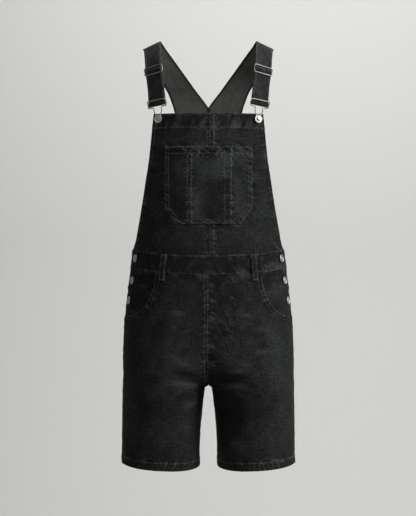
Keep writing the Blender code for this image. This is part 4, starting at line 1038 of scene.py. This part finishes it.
def mouthHeight(x, top):
    share = np.clip((scoop["centreX"] - x) / scoop["width"], 0, 1)
    return top + (scoop["centreZ"] - scoop["depth"] - top) * np.sqrt(1 - share**2)


def frontTopEdge():
    # along the waistband, then round the pocket mouth to the side seam
    waistColumns, mouthColumns, flankColumns = leg["edgeColumns"]
    x = np.linspace(cut["gap"] / 2, scoop["centreX"] - scoop["width"], waistColumns)
    z = np.full_like(x, bandBottom(0.0))
    for _ in range(5):
        angle = angleAtX(x, z)
        z = bandBottom(angle) - cut["gap"]
    turn = np.radians(np.linspace(0, 62, mouthColumns)[1:])
    mouthX = scoop["centreX"] - scoop["width"] * np.cos(turn)
    mouthZ = mouthHeight(mouthX, z[-1])
    mouth = angleAtX(mouthX, mouthZ)
    flank = np.linspace(mouth[-1], sideAngle(scoop["centreZ"] - scoop["depth"]), flankColumns)[1:]
    flankZ = np.full_like(flank, mouthZ[-1])
    for _ in range(10):
        flankZ = mouthHeight(bodyPoint(flank, flankZ)[..., 0], z[-1])
    return np.concatenate([angle, mouth, flank]), np.concatenate([z, mouthZ, flankZ])


def backTopEdge():
    count = sum(leg["edgeColumns"]) - 2
    angle = np.linspace(middleAngle(-0.48, back=True), sideAngle(-0.49, back=True), count)
    z = bandBottom(angle) - cut["gap"]
    angle[0], angle[-1] = middleAngle(z[0], back=True), sideAngle(z[-1], back=True)
    return angle, z


def makeLegs():
    threads = Threads(14)
    made = []
    for back in (False, True):
        angles, heights = legGrid(*(backTopEdge() if back else frontTopEdge()), back)
        for side, word in ((1, "left"), (-1, "right")):
            panel = Panel(side, None, legDetail(side, back))
            up = heights - hemHeight(angles)
            thickness = cut["cloth"] + ease((0.0165 - up) / 0.002) * cut["turned"]
            face = "back" if back else "front"
            obj = clothPiece(face + "Leg" + word.capitalize(), panel, angles, heights, thickness, True)
            made.append(keep(obj, [f"{face}_leg_{word}"]))
            sewLeg(threads, panel, side, back)
    return made, threads


flyThreads = Threads(18)


def sewLeg(threads, panel, side, back):
    ends = (math.pi / 2 + 0.01, 1.5 * math.pi - 0.01) if back else (-math.pi / 2 + 0.01, math.pi / 2 - 0.01)
    line = np.linspace(*ends, 260)
    threads.run(*panel.at(line, hemHeight(line) + leg["hemStitch"]))
    sign = 1 if back else -1
    for inset in (0.0022, 0.0080) if not back else ():
        lineZ = np.linspace(scoop["centreZ"] - scoop["depth"] - 0.002, -0.9230, 260)
        turn = (inset / frontDepth(lineZ)) ** (squareness(lineZ) / 2)
        threads.run(*panel.at(math.pi / 2 + sign * turn, lineZ))
    if back:
        lineZ = np.linspace(cut["crotchZ"] - 0.002, -0.9220, 140)
        turn = (0.0024 / backDepth(lineZ)) ** (squareness(lineZ) / 2)
        threads.run(*panel.at(1.5 * math.pi - turn, lineZ))
    if (side < 0) != back:
        for inset in leg["riseStitches"]:
            lineZ = np.concatenate([np.linspace(-0.5060, cut["flyZ"], 90),
                                    np.linspace(cut["flyZ"], cut["crotchZ"] + 0.006, 60)[1:]])
            if back:
                lineZ[:90] = np.linspace(-0.4815, cut["flyZ"], 90)
            threads.run(*panel.at(angleAtX(np.full_like(lineZ, inset), lineZ, back), lineZ))
    if not back:
        angle, z = frontTopEdge()
        start = leg["edgeColumns"][0] - 1
        for inset in scoop["stitches"]:
            x = scoop["centreX"] - (scoop["width"] + inset) * np.cos(np.radians(np.linspace(2, 88, 120)))
            depth = scoop["depth"] + inset
            share = np.clip((scoop["centreX"] - x) / (scoop["width"] + inset), 0, 1)
            lineZ = z[start] + (scoop["centreZ"] - depth - z[start]) * np.sqrt(1 - share**2)
            reach = halfWidth(lineZ)
            lineAngle = angleAtX(np.minimum(x, reach * 0.9995), lineZ)
            keepPoints = lineZ < bandBottom(lineAngle) - 0.001
            threads.run(*panel.at(lineAngle[keepPoints], lineZ[keepPoints]))
        if side > 0:
            x, lineZ = flyLine()
            flyThreads.run(*panel.at(angleAtX(x, lineZ), lineZ))
            flyThreads.run(*panel.at(angleAtX(np.maximum(x - 0.0055, 0.001), lineZ + 0.0012), lineZ + 0.0012))


def makeFacings(threads):
    # the hip pieces in the pocket mouths, and the strips behind the side openings
    made = []
    rows, columns = np.linspace(0, 1, 46), np.linspace(0, 1, 40)
    margin = 0.014
    sideTop = cut["waistSideZ"] - cut["bandHeight"] - cut["gap"]
    angles, heights = [], []
    for r in rows:
        z = np.full_like(columns, sideTop + (scoop["facingFootZ"] - sideTop) * r)
        for _ in range(5):
            fall = np.clip((z[0] - scoop["centreZ"]) / (scoop["depth"] + 0.048), -1, 0)
            innerX = scoop["centreX"] - (scoop["width"] + margin) * math.sqrt(1 - fall**2)
            start = angleAtX(innerX, z[0])
            angle = start + columns * (sideAngle(z) - start)
            top = bandBottom(angle) - cut["gap"]
            z = top + (scoop["facingFootZ"] - top) * r
        angles.append(angle)
        heights.append(z)
    angles, heights = np.array(angles), np.array(heights)

    def sunk(angle, z, point):
        u = (np.abs(point[..., 0]) - scoop["centreX"]) / scoop["width"]
        inside = (1 - np.hypot(u, (z - scoop["centreZ"]) / scoop["depth"])) * (scoop["width"] + scoop["depth"]) / 2
        return -(cut["cloth"] + cut["lap"]) * (1 - ease((inside - 0.002) / scoop["facingRise"]))

    for side, word in ((1, "left"), (-1, "right")):
        def soft(angle, z, point, side=side):
            x = np.abs(point[..., 0])
            drawn = pucker(bandBottom(angle) - z, angle * 0.14, 90 + side, 0.0110, 0.0090, 0.00050)
            pleat = hill(z + 0.532 + 0.12 * (x - 0.15), 0.0045) * ease((x - 0.115) / 0.02)
            under = hill(z + 0.541 + 0.10 * (x - 0.15), 0.0050) * ease((x - 0.115) / 0.02)
            built = (pleat - 0.8 * under) * (0.0013 if side < 0 else 0.0008)
            return built, drawn + 0.0003 * noise(x / 0.016, z / 0.013, 93 + side), ()

        # the lower base tone than the legs' is painted shade for the facing sunk inside the pocket mouth
        panel = Panel(side, sunk, soft, 0.14)
        obj = clothPiece("hipFacing" + word.capitalize(), panel, angles, heights, cut["cloth"])
        made.append(keep(obj, ["pocket_facing_" + word]))
        standDepth = cut["band"] - cut["bandProud"] + cut["lap"]
        stand = Panel(side, lambda a, z, p: -standDepth)
        standZ = np.linspace(cut["waistSideZ"] - 0.0030, -0.5730, 44)
        standAngle = np.radians(np.linspace(66, 100, 26))
        a, z = np.meshgrid(standAngle, standZ)
        obj = clothPiece("buttonStand" + word.capitalize(), stand, a, z, cut["cloth"])
        made.append(keep(obj, ["button_stand_" + word]))
        for b in sideButtons:
            if b["onBand"]:
                continue
            sewHole(threads, panel, b["x"], b["z"])
    return made


sideButtons = [
    {"row": 1, "x": 0.1560, "z": -0.4710, "onBand": True},
    {"row": 2, "x": 0.1635, "z": -0.5185, "onBand": False},
    {"row": 3, "x": 0.1712, "z": -0.5620, "onBand": False},
]


def sewHole(threads, panel, x, z):
    # a keyhole buttonhole that runs from the button's shank towards the side seam
    turn = np.linspace(0, 2 * math.pi, 46)
    centre = float(angleAtX(np.array(x), np.array(z)))
    radius = float(np.hypot(halfWidth(z), frontDepth(z))) * 0.72
    along = np.where(np.cos(turn) > 0, 0.0150, 0.0040) * np.cos(turn) / radius
    point, normal = panel.at(centre + along, z + 0.0022 * np.sin(turn))
    middle, _ = panel.at(np.full(46, centre) + along * 0.93, z + 0.0008 * np.sin(turn))
    threads.add(point + normal * 0.0002, middle + normal * 0.0002, normal, 0.00030)


# Belt loops, stitched at the band's upper edge and below its lower edge
beltLoops = [
    {"node": "belt_loop_front_left", "back": False, "topX": 0.0938, "footX": 0.0992},
    {"node": "belt_loop_front_right", "back": False, "topX": -0.0938, "footX": -0.0992},
    {"node": "belt_loop_back", "back": True, "topX": 0.0, "footX": 0.0},
]
loopSize = {"width": 0.0120, "below": 0.0170, "arch": 0.0014, "clear": 0.0008}


def makeBeltLoops():
    threads = Threads(15)
    made = []
    for loop in beltLoops:
        rows, columns = np.linspace(0, 1, 42), np.linspace(-0.5, 0.5, 10)
        share = np.repeat(rows[:, None], 10, axis=1)

        def lay(column, share, back=loop["back"], loop=loop):
            x = loop["topX"] + (loop["footX"] - loop["topX"]) * share + column * loopSize["width"]
            z = np.full_like(x, cut["waistSideZ"])
            for _ in range(5):
                turn = angleAtX(np.abs(x), z, back)
                top, foot = bandTop(turn) - 0.0005, bandBottom(turn) - loopSize["below"]
                z = top + (foot - top) * share
            angle = math.pi + np.sign(-x) * (math.pi - turn) if back else np.sign(x) * turn
            return angle, z

        def lift(angle, z, point):
            onBand = ease((z - bandBottom(angle)) / 0.006 + 0.8)
            top, foot = bandTop(angle) - 0.0005, bandBottom(angle) - loopSize["below"]
            share = (top - z) / (top - foot)
            arch = loopSize["arch"] * np.sin(math.pi * np.clip(share, 0, 1))
            return loopSize["clear"] + cut["bandProud"] * onBand + arch + cut["cloth"]

        def soft(angle, z, point, loop=loop):
            return 0.0, 0.0003 * noise(z / 0.011, angle * 12, 101 + loop["topX"] * 40), ()

        panel = Panel(1, lift, soft)
        column = np.repeat(columns[None, :], 42, axis=0)
        angle, z = lay(column, share)
        if loop["back"]:
            angle, z = angle[:, ::-1], z[:, ::-1]
        points, normals = panel.at(angle, z)
        bow = 0.0010 * (1 - (column / 0.5) ** 2)
        points = points + normals * (bow - 0.0004)[..., None]
        wear, lines = panel.finish(angle, z)
        lines[..., 0] = (0.5 - np.abs(column)) * loopSize["width"]
        obj = wall(loop["node"].replace("_", "") + "Cloth", points, normals, cut["cloth"], (wear, lines),
                   [denimRight, denimWrong])
        made.append(keep(obj, [loop["node"]]))
        for place in (-0.33, 0.33):
            lineAngle, lineZ = lay(np.full(60, place), np.linspace(0.01, 0.99, 60))
            threads.run(*panel.at(lineAngle, lineZ), lift=0.0004)
        for end in (0.035, 0.965):
            spotAngle, spotZ = lay(np.array([0.0]), np.array([end]))
            point, normal = panel.at(spotAngle, spotZ)
            side = np.cross(normal[0], [0, 0, 1.0])
            threads.tack(point[0] + normal[0] * 0.0003, side, np.array([0, 0, 1.0]), normal[0], 0.0095, 0.0020, 15)
    return made, threads


def unit(vector):
    return vector / np.linalg.norm(vector)


def frontFrame(x, z, offset=0.0):
    # a point of the front and its axes: across and out
    point, normal = bodyFrame(angleAtX(np.array(x), np.array(z)), np.array(z))
    point = point + normal * foldAt(point)
    right, _ = bodyFrame(angleAtX(np.array(x + 0.004), np.array(z)), np.array(z))
    left, _ = bodyFrame(angleAtX(np.array(x - 0.004), np.array(z)), np.array(z))
    return point + normal * offset, unit(right - left), normal


def foldAt(point):
    return float(rowRise(foldTable, point[None])[0])


# Buttons: a rolled rim, a sunk ring of beads and a low dome in the middle
button = {"radius": 0.0088, "sideRadius": 0.0084, "shank": 0.0028, "bibShank": 0.0036,
          "sideShank": 0.0012, "beads": 20, "segments": 48}


def turned(profile, segments):
    # a round form from radii and heights
    points, faces, rings = [], [], []
    for radius, height in profile:
        if radius == 0:
            rings.append([len(points)])
            points.append((0, 0, height))
            continue
        rings.append(list(range(len(points), len(points) + segments)))
        points += [(radius * math.cos(2 * math.pi * i / segments), radius * math.sin(2 * math.pi * i / segments),
                    height) for i in range(segments)]
    for low, high in zip(rings, rings[1:]):
        for i in range(segments):
            j = (i + 1) % segments
            if len(low) == 1:
                faces.append((low[0], high[j], high[i]))
            elif len(high) == 1:
                faces.append((low[i], low[j], high[0]))
            else:
                faces.append((low[i], low[j], high[j], high[i]))
    return points, faces


def buttonForm(radius, shank):
    rim = [(radius - 0.0007 + 0.0007 * math.cos(a), shank + 0.0009 + 0.0009 * math.sin(a))
           for a in np.linspace(-math.pi / 2, math.pi * 0.80, 9)]
    dome = [(radius * 0.40 * math.cos(a), shank + 0.0010 + 0.0010 * math.sin(a))
            for a in np.linspace(0.1, math.pi / 2, 6)]
    dome[-1] = (0, dome[-1][1])
    profile = [(0, 0), (button["shank"], 0), (button["shank"] * 0.86, shank * 0.5), (button["shank"], shank)]
    profile += rim + [(radius * 0.78, shank + 0.0008), (radius * 0.48, shank + 0.0008)] + dome
    points, faces = turned(profile, button["segments"])
    for i in range(button["beads"]):
        a = 2 * math.pi * i / button["beads"]
        bead, beadFaces = turned([(0.00045, 0), (0.0004, 0.0002), (0.00022, 0.00036), (0, 0.0004)], 8)
        base = len(points)
        points += [(x + radius * 0.63 * math.cos(a), y + radius * 0.63 * math.sin(a), z + shank + 0.00078)
                   for x, y, z in bead]
        faces += [tuple(v + base for v in f) for f in beadFaces]
    return points, faces


def placeMatrix(point, across, out, side):
    flip = np.array([side, 1.0, 1.0])
    out, across = out * flip, across * flip
    up = np.cross(out, across)
    rows = [[across[i], up[i], out[i], (point * flip)[i]] for i in range(3)]
    return Matrix(rows + [[0, 0, 0, 1]])


def makeButtons():
    made = []
    for side, word in ((1, "left"), (-1, "right")):
        spots = [("bib_button_" + word, bibButton["x"], bibButton["z"], cut["gap"], button["radius"],
                  button["bibShank"])]
        for b in sideButtons:
            lift = cut["gap"] + (cut["bandProud"] if b["onBand"] else 0.0)
            spots.append((f"side_button_{word}_{b['row']}", b["x"], b["z"], lift, button["sideRadius"],
                          button["sideShank"]))
        for node, x, z, lift, radius, shank in spots:
            point, across, out = frontFrame(x, z, lift)
            points, faces = buttonForm(radius, shank)
            obj = meshObject("".join(w.capitalize() for w in node.split("_")), points, faces, [nickel])
            obj.data.set_sharp_from_angle(angle=math.radians(38))
            obj.matrix_world = placeMatrix(point, across, out, side)
            made.append(keep(obj, [node]))
    return made


# Straps: stations from the chest to the centre back, on the wearer's left, inner and outer edge
strapTable = {
    "inner": [(0.0952, -0.1071, -0.1057), (0.1001, -0.0953, -0.0666), (0.1030, -0.0696, -0.0284),
              (0.1047, -0.0365, -0.0028), (0.1056, 0.0000, 0.0078), (0.1000, 0.0360, 0.0029),
              (0.0840, 0.0680, -0.0155), (0.0600, 0.0920, -0.0461), (0.0300, 0.1060, -0.0861)],
    "outer": [(0.1294, -0.0919, -0.1123), (0.1343, -0.0807, -0.0745), (0.1376, -0.0584, -0.0396),
              (0.1407, -0.0315, -0.0182), (0.1438, 0.0000, -0.0108), (0.1380, 0.0300, -0.0210),
              (0.1260, 0.0600, -0.0400), (0.1110, 0.0850, -0.0620), (0.0940, 0.1010, -0.0900)],
}
bibButton = {"x": 0.1045, "z": -0.1760}
strapSize = {"width": 0.0380, "wire": 0.0012, "hookDrop": 0.0320, "sliderAt": 0.0780,
             "sliderHalf": 0.0090, "crownBar": -0.0015, "pointZ": -0.1260, "columns": 21,
             "edgeStitches": (0.0035,)}


class StrapLine:
    # the strap's right side by distance up from the hook's bar
    def __init__(self):
        point, across, out = frontFrame(bibButton["x"], bibButton["z"])
        wire = strapSize["wire"]
        wirePoint = point + out * (cut["gap"] + wire + 0.0006)
        first = [np.array(strapTable[k][0]) for k in ("inner", "outer")]
        self.up = unit((first[0] + first[1]) / 2 - out * 0.0010 - wirePoint)
        self.bar = wirePoint + self.up * strapSize["hookDrop"]
        across = unit(across - self.up * (across @ self.up) + np.array([0, 0, -0.03]))
        self.across = unit(across - self.up * (across @ self.up))
        self.out = np.cross(self.across, self.up)
        self.barDepth = cut["strap"] + cut["gap"] + wire
        start = self.bar + self.out * self.barDepth
        half = self.across * strapSize["width"] / 2
        inner = np.array([start - half] + [np.array(p) for p in strapTable["inner"]])
        outer = np.array([start + half] + [np.array(p) for p in strapTable["outer"]])
        centre = (inner + outer) / 2
        knots = np.concatenate([[0], np.cumsum(np.linalg.norm(np.diff(centre, axis=0), axis=1))])
        self.length = knots[-1]
        self.inner = [through(knots, inner[:, i]) for i in range(3)]
        self.outer = [through(knots, outer[:, i]) for i in range(3)]

    def edges(self, s):
        if s < 0:
            a, b = self.edges(0.0)
            return a + self.up * s, b + self.up * s
        return np.array([f(s) for f in self.inner]), np.array([f(s) for f in self.outer])

    def axes(self, s):
        a, b = self.edges(s)
        across = unit(b - a)
        if s <= 0:
            up = self.up
        else:
            before, after = self.edges(max(s - 0.002, 0)), self.edges(s + 0.002)
            up = unit(sum(after) - sum(before))
        up = unit(up - across * (up @ across))
        return (a + b) / 2, across, up, unit(np.cross(across, up))

    def place(self, s, c, n):
        centre, across, up, out = self.axes(s)
        return centre + across * c + out * n


def arcPoints(centreS, centreN, radius, start, stop, count):
    turn = np.radians(np.linspace(start, stop, count))
    return [(centreS + radius * math.sin(a), centreN + radius * math.cos(a)) for a in turn]


def strapPath(line):
    # over the slider's bar, down round the hook's bar, up behind and round the slider's bar again
    slide, half = strapSize["sliderAt"], strapSize["sliderHalf"]
    ring = cut["strap"] + cut["gap"] + strapSize["wire"]
    crown = strapSize["crownBar"] + ring + cut["gap"] + cut["strap"]
    path = []
    for share in np.linspace(1.35, -1.35, 31):
        path.append((slide + share * half, crown * math.cos(math.pi / 2 * min(abs(share), 1.0)) ** 2))
    path += [(s, 0.0) for s in np.linspace(slide - 1.35 * half - 0.003, 0.003, 19)]
    path += arcPoints(0.0, -line.barDepth, ring, 0, -180, 19)
    rear = -2 * cut["strap"] - cut["gap"]
    lean = through([0.0, 0.010, 0.022, 0.042, 0.070], [-2 * line.barDepth, rear - 0.0016, rear - 0.0002, rear, rear])
    path += [(s, float(lean(s))) for s in np.linspace(0.003, slide - 1.2 * half, 20)]
    path += arcPoints(slide, strapSize["crownBar"], ring, 180, -25, 21)
    return path


def makeStraps():
    threads = Threads(16)
    line = StrapLine()
    columns = np.linspace(0, 1, strapSize["columns"])
    rows = []
    for z in np.linspace(cut["backSeamZ"], strapSize["pointZ"], 16)[:-1]:
        x = cut["gap"] / 2 + columns * (backSide(z) - cut["gap"] / 2)
        heights = np.full_like(x, z)
        rows.append(bodyPoint(angleAtX(x, heights, back=True), heights))
    z = strapSize["pointZ"]
    x = cut["gap"] / 2 + columns * (backSide(z) - cut["gap"] / 2)
    last = bodyPoint(angleAtX(x, np.full_like(x, z), back=True), np.full_like(x, z))

    def across(s):
        a, b = line.edges(s)
        bow = 0.0018 * ease((s - 0.20) / 0.08)
        return a + (b - a) * columns[:, None] + (4 * columns * (1 - columns) * bow)[:, None] * line.axes(s)[3]

    before, after, beyond = rows[-3], across(line.length), across(line.length - 0.020)
    for t in np.linspace(0, 1, 14)[:-1]:
        into, leaving = (last - before) * 1.4, (beyond - after) * 1.6
        rows.append(last * (1 + 2 * t) * (1 - t) ** 2 + into * t * (1 - t) ** 2
                    + after * t**2 * (3 - 2 * t) + leaving * t**2 * (t - 1))
    path = strapPath(line)
    for s in np.arange(line.length, path[0][0] + 0.0015, -0.0028):
        rows.append(across(s))
    for s, n in path:
        a, b = line.edges(s)
        width = np.linalg.norm(b - a)
        rows.append(np.array([line.place(s, (c - 0.5) * width, n) for c in columns]))
    points = np.array(rows)
    down, side = np.gradient(points, axis=0), np.gradient(points, axis=1)
    normals = np.cross(down, side)
    normals /= np.maximum(np.linalg.norm(normals, axis=-1, keepdims=True), 1e-12)
    outward = line.axes(strapSize["sliderAt"] + 0.05)[3]
    middle = len(points) - len(path) - 10
    if normals[middle, 8] @ outward < 0:
        normals = -normals
    reach = lengths(points, 0)
    made = []
    for way, word in ((1, "left"), (-1, "right")):
        flip = np.array([way, 1.0, 1.0])
        edge = np.minimum(columns, 1 - columns)[None, :] * np.linalg.norm(
            points[:, -1] - points[:, 0], axis=1)[:, None]
        rise = pucker(edge - 0.003, reach, 120 + way, 0.0090, 0.0045, 0.00030)
        rise = rise + 0.00025 * noise(reach / 0.020, columns[None, :] * 2 + 0 * reach, 122 + way)
        free = ease((reach - 0.01) / 0.02)
        outer = (points + normals * (rise * free)[..., None]) * flip
        lines = np.ones(edge.shape + (3,))
        lines[..., 0] = edge
        # the strap's tone is painted from its relief: paler on pucker ridges as painted highlight, darker in their
        # troughs as painted shade, and paler near the edges by wear
        finish = np.clip(0.52 + rise / 0.0012 + 0.10 * ease((0.006 - edge) / 0.004), 0, 1), lines
        broad = np.linalg.norm(points[:, -1] - points[:, 0], axis=1)[:, None]
        obj = wall("strap" + word.capitalize(), outer, normals * flip, cut["strap"], finish,
                   [denimRight, strapWrong], u=(columns - 0.5)[None, :] * broad + way * 0.3, v=reach)
        made.append(keep(obj, ["strap_" + word]))
        for inset in strapSize["edgeStitches"]:
            for share in (inset, 1 - inset):
                place = []
                for i in range(len(points)):
                    width = np.linalg.norm(points[i, -1] - points[i, 0])
                    c = inset / width if share == inset else 1 - inset / width
                    k = c * (len(columns) - 1)
                    low = int(min(max(math.floor(k), 0), len(columns) - 2))
                    place.append(outer[i, low] + (outer[i, low + 1] - outer[i, low]) * (k - low))
                side = 1 if share == inset else len(columns) - 2
                threads.run(np.array(place), (normals * flip)[:, side], radius=0.00050)
    return made, threads, line


def strapWrongFinish():
    # the strap's wrong side: a pale, mottled middle between its darker turned edges
    made = Finish("strapWrongSide", Roughness=0.9)
    made.shader.inputs["Specular IOR Level"].default_value = 0.28
    away = made.node("ShaderNodeAttribute", {"attribute_name": "lines"}, out=1)
    edge = made.node("ShaderNodeSeparateXYZ", {}, {"Vector": away})
    speck = made.cloud(made.place(0.0030, 0.0022), 4.0, 0.7)
    mottle = made.cloud(made.place(0.014, 0.030), 2.0, 0.6)
    cloth = made.mix((speck * 0.6 + mottle * 1.1 - 0.35).clipped(), denim["strapDark"], denim["strapPale"])
    colour = made.mix(((edge - 0.0030) * 220.0 + speck * 0.5).clipped(), denim["dark"], cloth)
    bump = made.node("ShaderNodeBump", {}, {"Strength": 0.3, "Distance": 0.0002, "Height": speck})
    return made.feed(Base_Color=colour, Normal=bump)


strapWrong = strapWrongFinish()


def wireLoop(points, radius, sides=14):
    # a round wire through closed points, smoothed between them
    points = np.array(points, float)
    count = len(points)
    fine = []
    for i in range(count):
        p0, p1, p2, p3 = (points[(i + k) % count] for k in (-1, 0, 1, 2))
        pieces = max(2, int(np.linalg.norm(p2 - p1) / 0.0009))
        for t in np.arange(pieces) / pieces:
            fine.append(0.5 * (2 * p1 + (p2 - p0) * t + (2 * p0 - 5 * p1 + 4 * p2 - p3) * t**2
                               + (3 * p1 - p0 - 3 * p2 + p3) * t**3))
    return sweep(np.array(fine), radius, sides, closed=True)


def sweep(points, radius, sides, closed):
    count = len(points)
    ahead = np.roll(points, -1, axis=0) - np.roll(points, 1, axis=0)
    if not closed:
        ahead[0], ahead[-1] = points[1] - points[0], points[-1] - points[-2]
    normal = np.cross(ahead[0], [0.3, 0.2, 0.9])
    made, frames = [], []
    for i in range(count):
        along = unit(ahead[i])
        normal = unit(normal - along * (normal @ along))
        frames.append((normal, np.cross(along, normal)))
    twist = 0.0
    if closed:
        along = unit(ahead[0])
        end = unit(frames[-1][0] - along * (frames[-1][0] @ along))
        twist = math.atan2(np.dot(np.cross(end, frames[0][0]), along), end @ frames[0][0])
    for i, (one, two) in enumerate(frames):
        for k in range(sides):
            a = 2 * math.pi * k / sides + twist * i / count
            made.append(points[i] + radius * (math.cos(a) * one + math.sin(a) * two))
    faces = []
    for i in range(count if closed else count - 1):
        for k in range(sides):
            j, m = (i + 1) % count, (k + 1) % sides
            faces.append((i * sides + k, i * sides + m, j * sides + m, j * sides + k))
    if not closed:
        faces.append(tuple(reversed(range(sides))))
        faces.append(tuple(range((count - 1) * sides, count * sides)))
    return made, faces


def corner(c, s, radius, start, stop, count=5):
    turn = np.radians(np.linspace(start, stop, count))
    return [(c + radius * math.cos(a), s + radius * math.sin(a)) for a in turn]


def sliderLoop():
    half, high, radius = strapSize["width"] / 2 + 0.0018, strapSize["sliderHalf"], 0.0035
    flat = corner(half - radius, high - radius, radius, 90, 0) + [(half, 0.0)]
    flat += corner(half - radius, -high + radius, radius, 0, -90)
    flat += corner(-half + radius, -high + radius, radius, 270, 180) + [(-half, 0.0)]
    flat += corner(-half + radius, high - radius, radius, 180, 90)
    front, crown = strapSize["wire"] + cut["gap"], strapSize["crownBar"]
    return [(c, s, crown + (front - crown) * float(ease(abs(s) / (high * 0.75)))) for c, s in flat]


def hookLoop():
    wire, drop = strapSize["wire"], strapSize["hookDrop"]
    half = strapSize["width"] / 2 + 0.0018
    foot = -(cut["strap"] + cut["gap"] + wire) - 2 * wire + 0.0002
    neck, slot, high, radius = 0.0088, 0.0046, 0.0085, 0.0030
    flat = [(0.0, high)] + corner(half - radius, high - radius, radius, 90, 0)
    flat += [(half, 0.002), (half, -0.001)] + corner(half - radius, foot + radius, radius, 0, -90)
    flat += [(neck + 0.003, foot), (neck + 0.0006, foot - 0.0012), (neck, foot - 0.0035)]
    flat += [(neck, foot - 0.0085), (neck - 0.0012, foot - 0.0120)]
    flat += [(slot + 0.0006, -drop + 0.0085), (slot, -drop + 0.0045)]
    flat += corner(0.0, -drop - 0.0010, slot, 0, -90, 5)
    flat = flat + [(-c, s) for c, s in reversed(flat[1:-1])]
    front = cut["strap"] + cut["gap"] + wire + wire + cut["gap"]
    return [(c, s, front * float(ease((s - 0.001) / 0.0055))) for c, s in flat]


def makeFittings(line):
    made = []
    wire, reach = strapSize["wire"], strapSize["width"] / 2 + 0.0018

    def inHook(c, s, n):
        return line.bar + line.across * c + line.up * s + line.out * n

    def inSlider(c, s, n):
        return line.place(strapSize["sliderAt"] + s, c, n)

    for side, word in ((1, "left"), (-1, "right")):
        flip = np.array([side, 1.0, 1.0])
        for kind, place, loop, depth in (("hook", inHook, hookLoop(), 0.0),
                                         ("slider", inSlider, sliderLoop(), strapSize["crownBar"])):
            points, faces = wireLoop([place(*p) * flip for p in loop], wire)
            bar = [place(c, 0.0, depth) * flip for c in np.linspace(-reach, reach, 12)]
            barPoints, barFaces = sweep(np.array(bar), wire * 0.92, 14, closed=False)
            faces = faces + [tuple(v + len(points) for v in f) for f in barFaces]
            obj = meshObject(f"strap{kind.capitalize()}{word.capitalize()}", np.array(points + barPoints),
                             faces, [wireNickel])
            obj.data.set_sharp_from_angle(angle=math.radians(60))
            made.append(keep(obj, [f"strap_{kind}_{word}"]))
    return made


bibs, bibThreads = makeBib()
pocketCloth = makePocket(bibThreads)
print("bib sewn")
bands, bandThreads = makeWaistbands()
backCloth, backThreads = makeBackPanel()
print("waist and back sewn")
legs, legThreads = makeLegs()
facings = makeFacings(legThreads)
print("legs sewn")
loops, loopThreads = makeBeltLoops()
straps, strapThreads, strapLine = makeStraps()
fittings = makeFittings(strapLine)
buttons = makeButtons()
print("straps and fittings made")

for word, made in (("bib", bibThreads), ("waist", bandThreads), ("back", backThreads), ("leg", legThreads),
                   ("loop", loopThreads), ("strap", strapThreads)):
    keep(made.build(word + "Stitching", thread), [])
keep(flyThreads.build("flyStitching", flyThread), [])
print("stitching made")

for obj in bibs:
    declare(obj)
declare(pocketCloth)
for obj in bands:
    declare(obj)
declare(backCloth)
for obj in legs:
    declare(obj)
for obj in facings:
    declare(obj)
for obj in loops:
    declare(obj)
for obj in straps:
    declare(obj)


# A pale sweep behind and below, and soft studio light from the upper right
studio = {"floorZ": -1.95, "backY": 4.2, "bend": 1.6, "width": 16.0, "front": -6.0,
          "tone": (0.62, 0.62, 0.605), "world": (0.80, 0.80, 0.79), "worldStrength": 0.24}


def makeStage():
    half, back, floor, bend = studio["width"] / 2, studio["backY"], studio["floorZ"], studio["bend"]
    line = [(studio["front"], floor), (back - bend, floor)]
    line += [(back - bend + bend * math.sin(a), floor + bend - bend * math.cos(a))
             for a in np.linspace(0.05, math.pi / 2, 24)]
    line.append((back, 5.0))
    points = [(x, y, z) for y, z in line for x in (-half, half)]
    faces = [(2 * i, 2 * i + 1, 2 * i + 3, 2 * i + 2) for i in range(len(line) - 1)]
    paper = Finish("backdropPaper", Roughness=0.95)
    where = paper.node("ShaderNodeTexCoord", {}, {}, out=3)
    grainy = paper.node("ShaderNodeTexNoise", {}, {"Vector": where, "Scale": 1.3, "Detail": 2.0})
    tone = studio["tone"]
    shade = paper.mix(grainy, tuple(0.985 * c for c in tone) + (1,), tone + (1,))
    sweepObject = meshObject("backdrop", points, faces, [paper.feed(Base_Color=shade)])


def areaLight(name, place, target, size, power, colour=(1, 1, 1)):
    data = bpy.data.lights.new(name, "AREA")
    data.shape, data.size, data.size_y = "RECTANGLE", size[0], size[1]
    data.energy, data.color = power, colour
    light = bpy.data.objects.new(name, data)
    light.location = place
    light.rotation_euler = (Vector(target) - Vector(place)).to_track_quat("-Z", "Y").to_euler()
    bpy.context.scene.collection.objects.link(light)


lights = {"key": 122.0, "fill": 3.0, "top": 22.0, "backdrop": 113.0}


def makeLights():
    areaLight("keyLight", (2.9, -1.6, 1.1), (0.0, 0.0, -0.45), (1.1, 1.6), lights["key"])
    areaLight("fillLight", (-2.4, -2.6, 0.1), (0.0, 0.0, -0.45), (1.6, 2.0), lights["fill"])
    areaLight("topLight", (0.4, -0.3, 1.7), (0.0, 0.0, -0.3), (1.6, 1.2), lights["top"])
    areaLight("backdropLight", (0.6, 1.2, 2.5), (0.8, 4.2, -0.4), (3.0, 1.6), lights["backdrop"])
    world = bpy.data.worlds.new("studioAir")
    world.use_nodes = True
    air = world.node_tree.nodes["Background"]
    air.inputs["Color"].default_value = studio["world"] + (1,)
    air.inputs["Strength"].default_value = studio["worldStrength"]
    bpy.context.scene.world = world


makeStage()
makeLights()
bpy.context.scene.view_settings.view_transform = "Standard"
print("stage and light set")
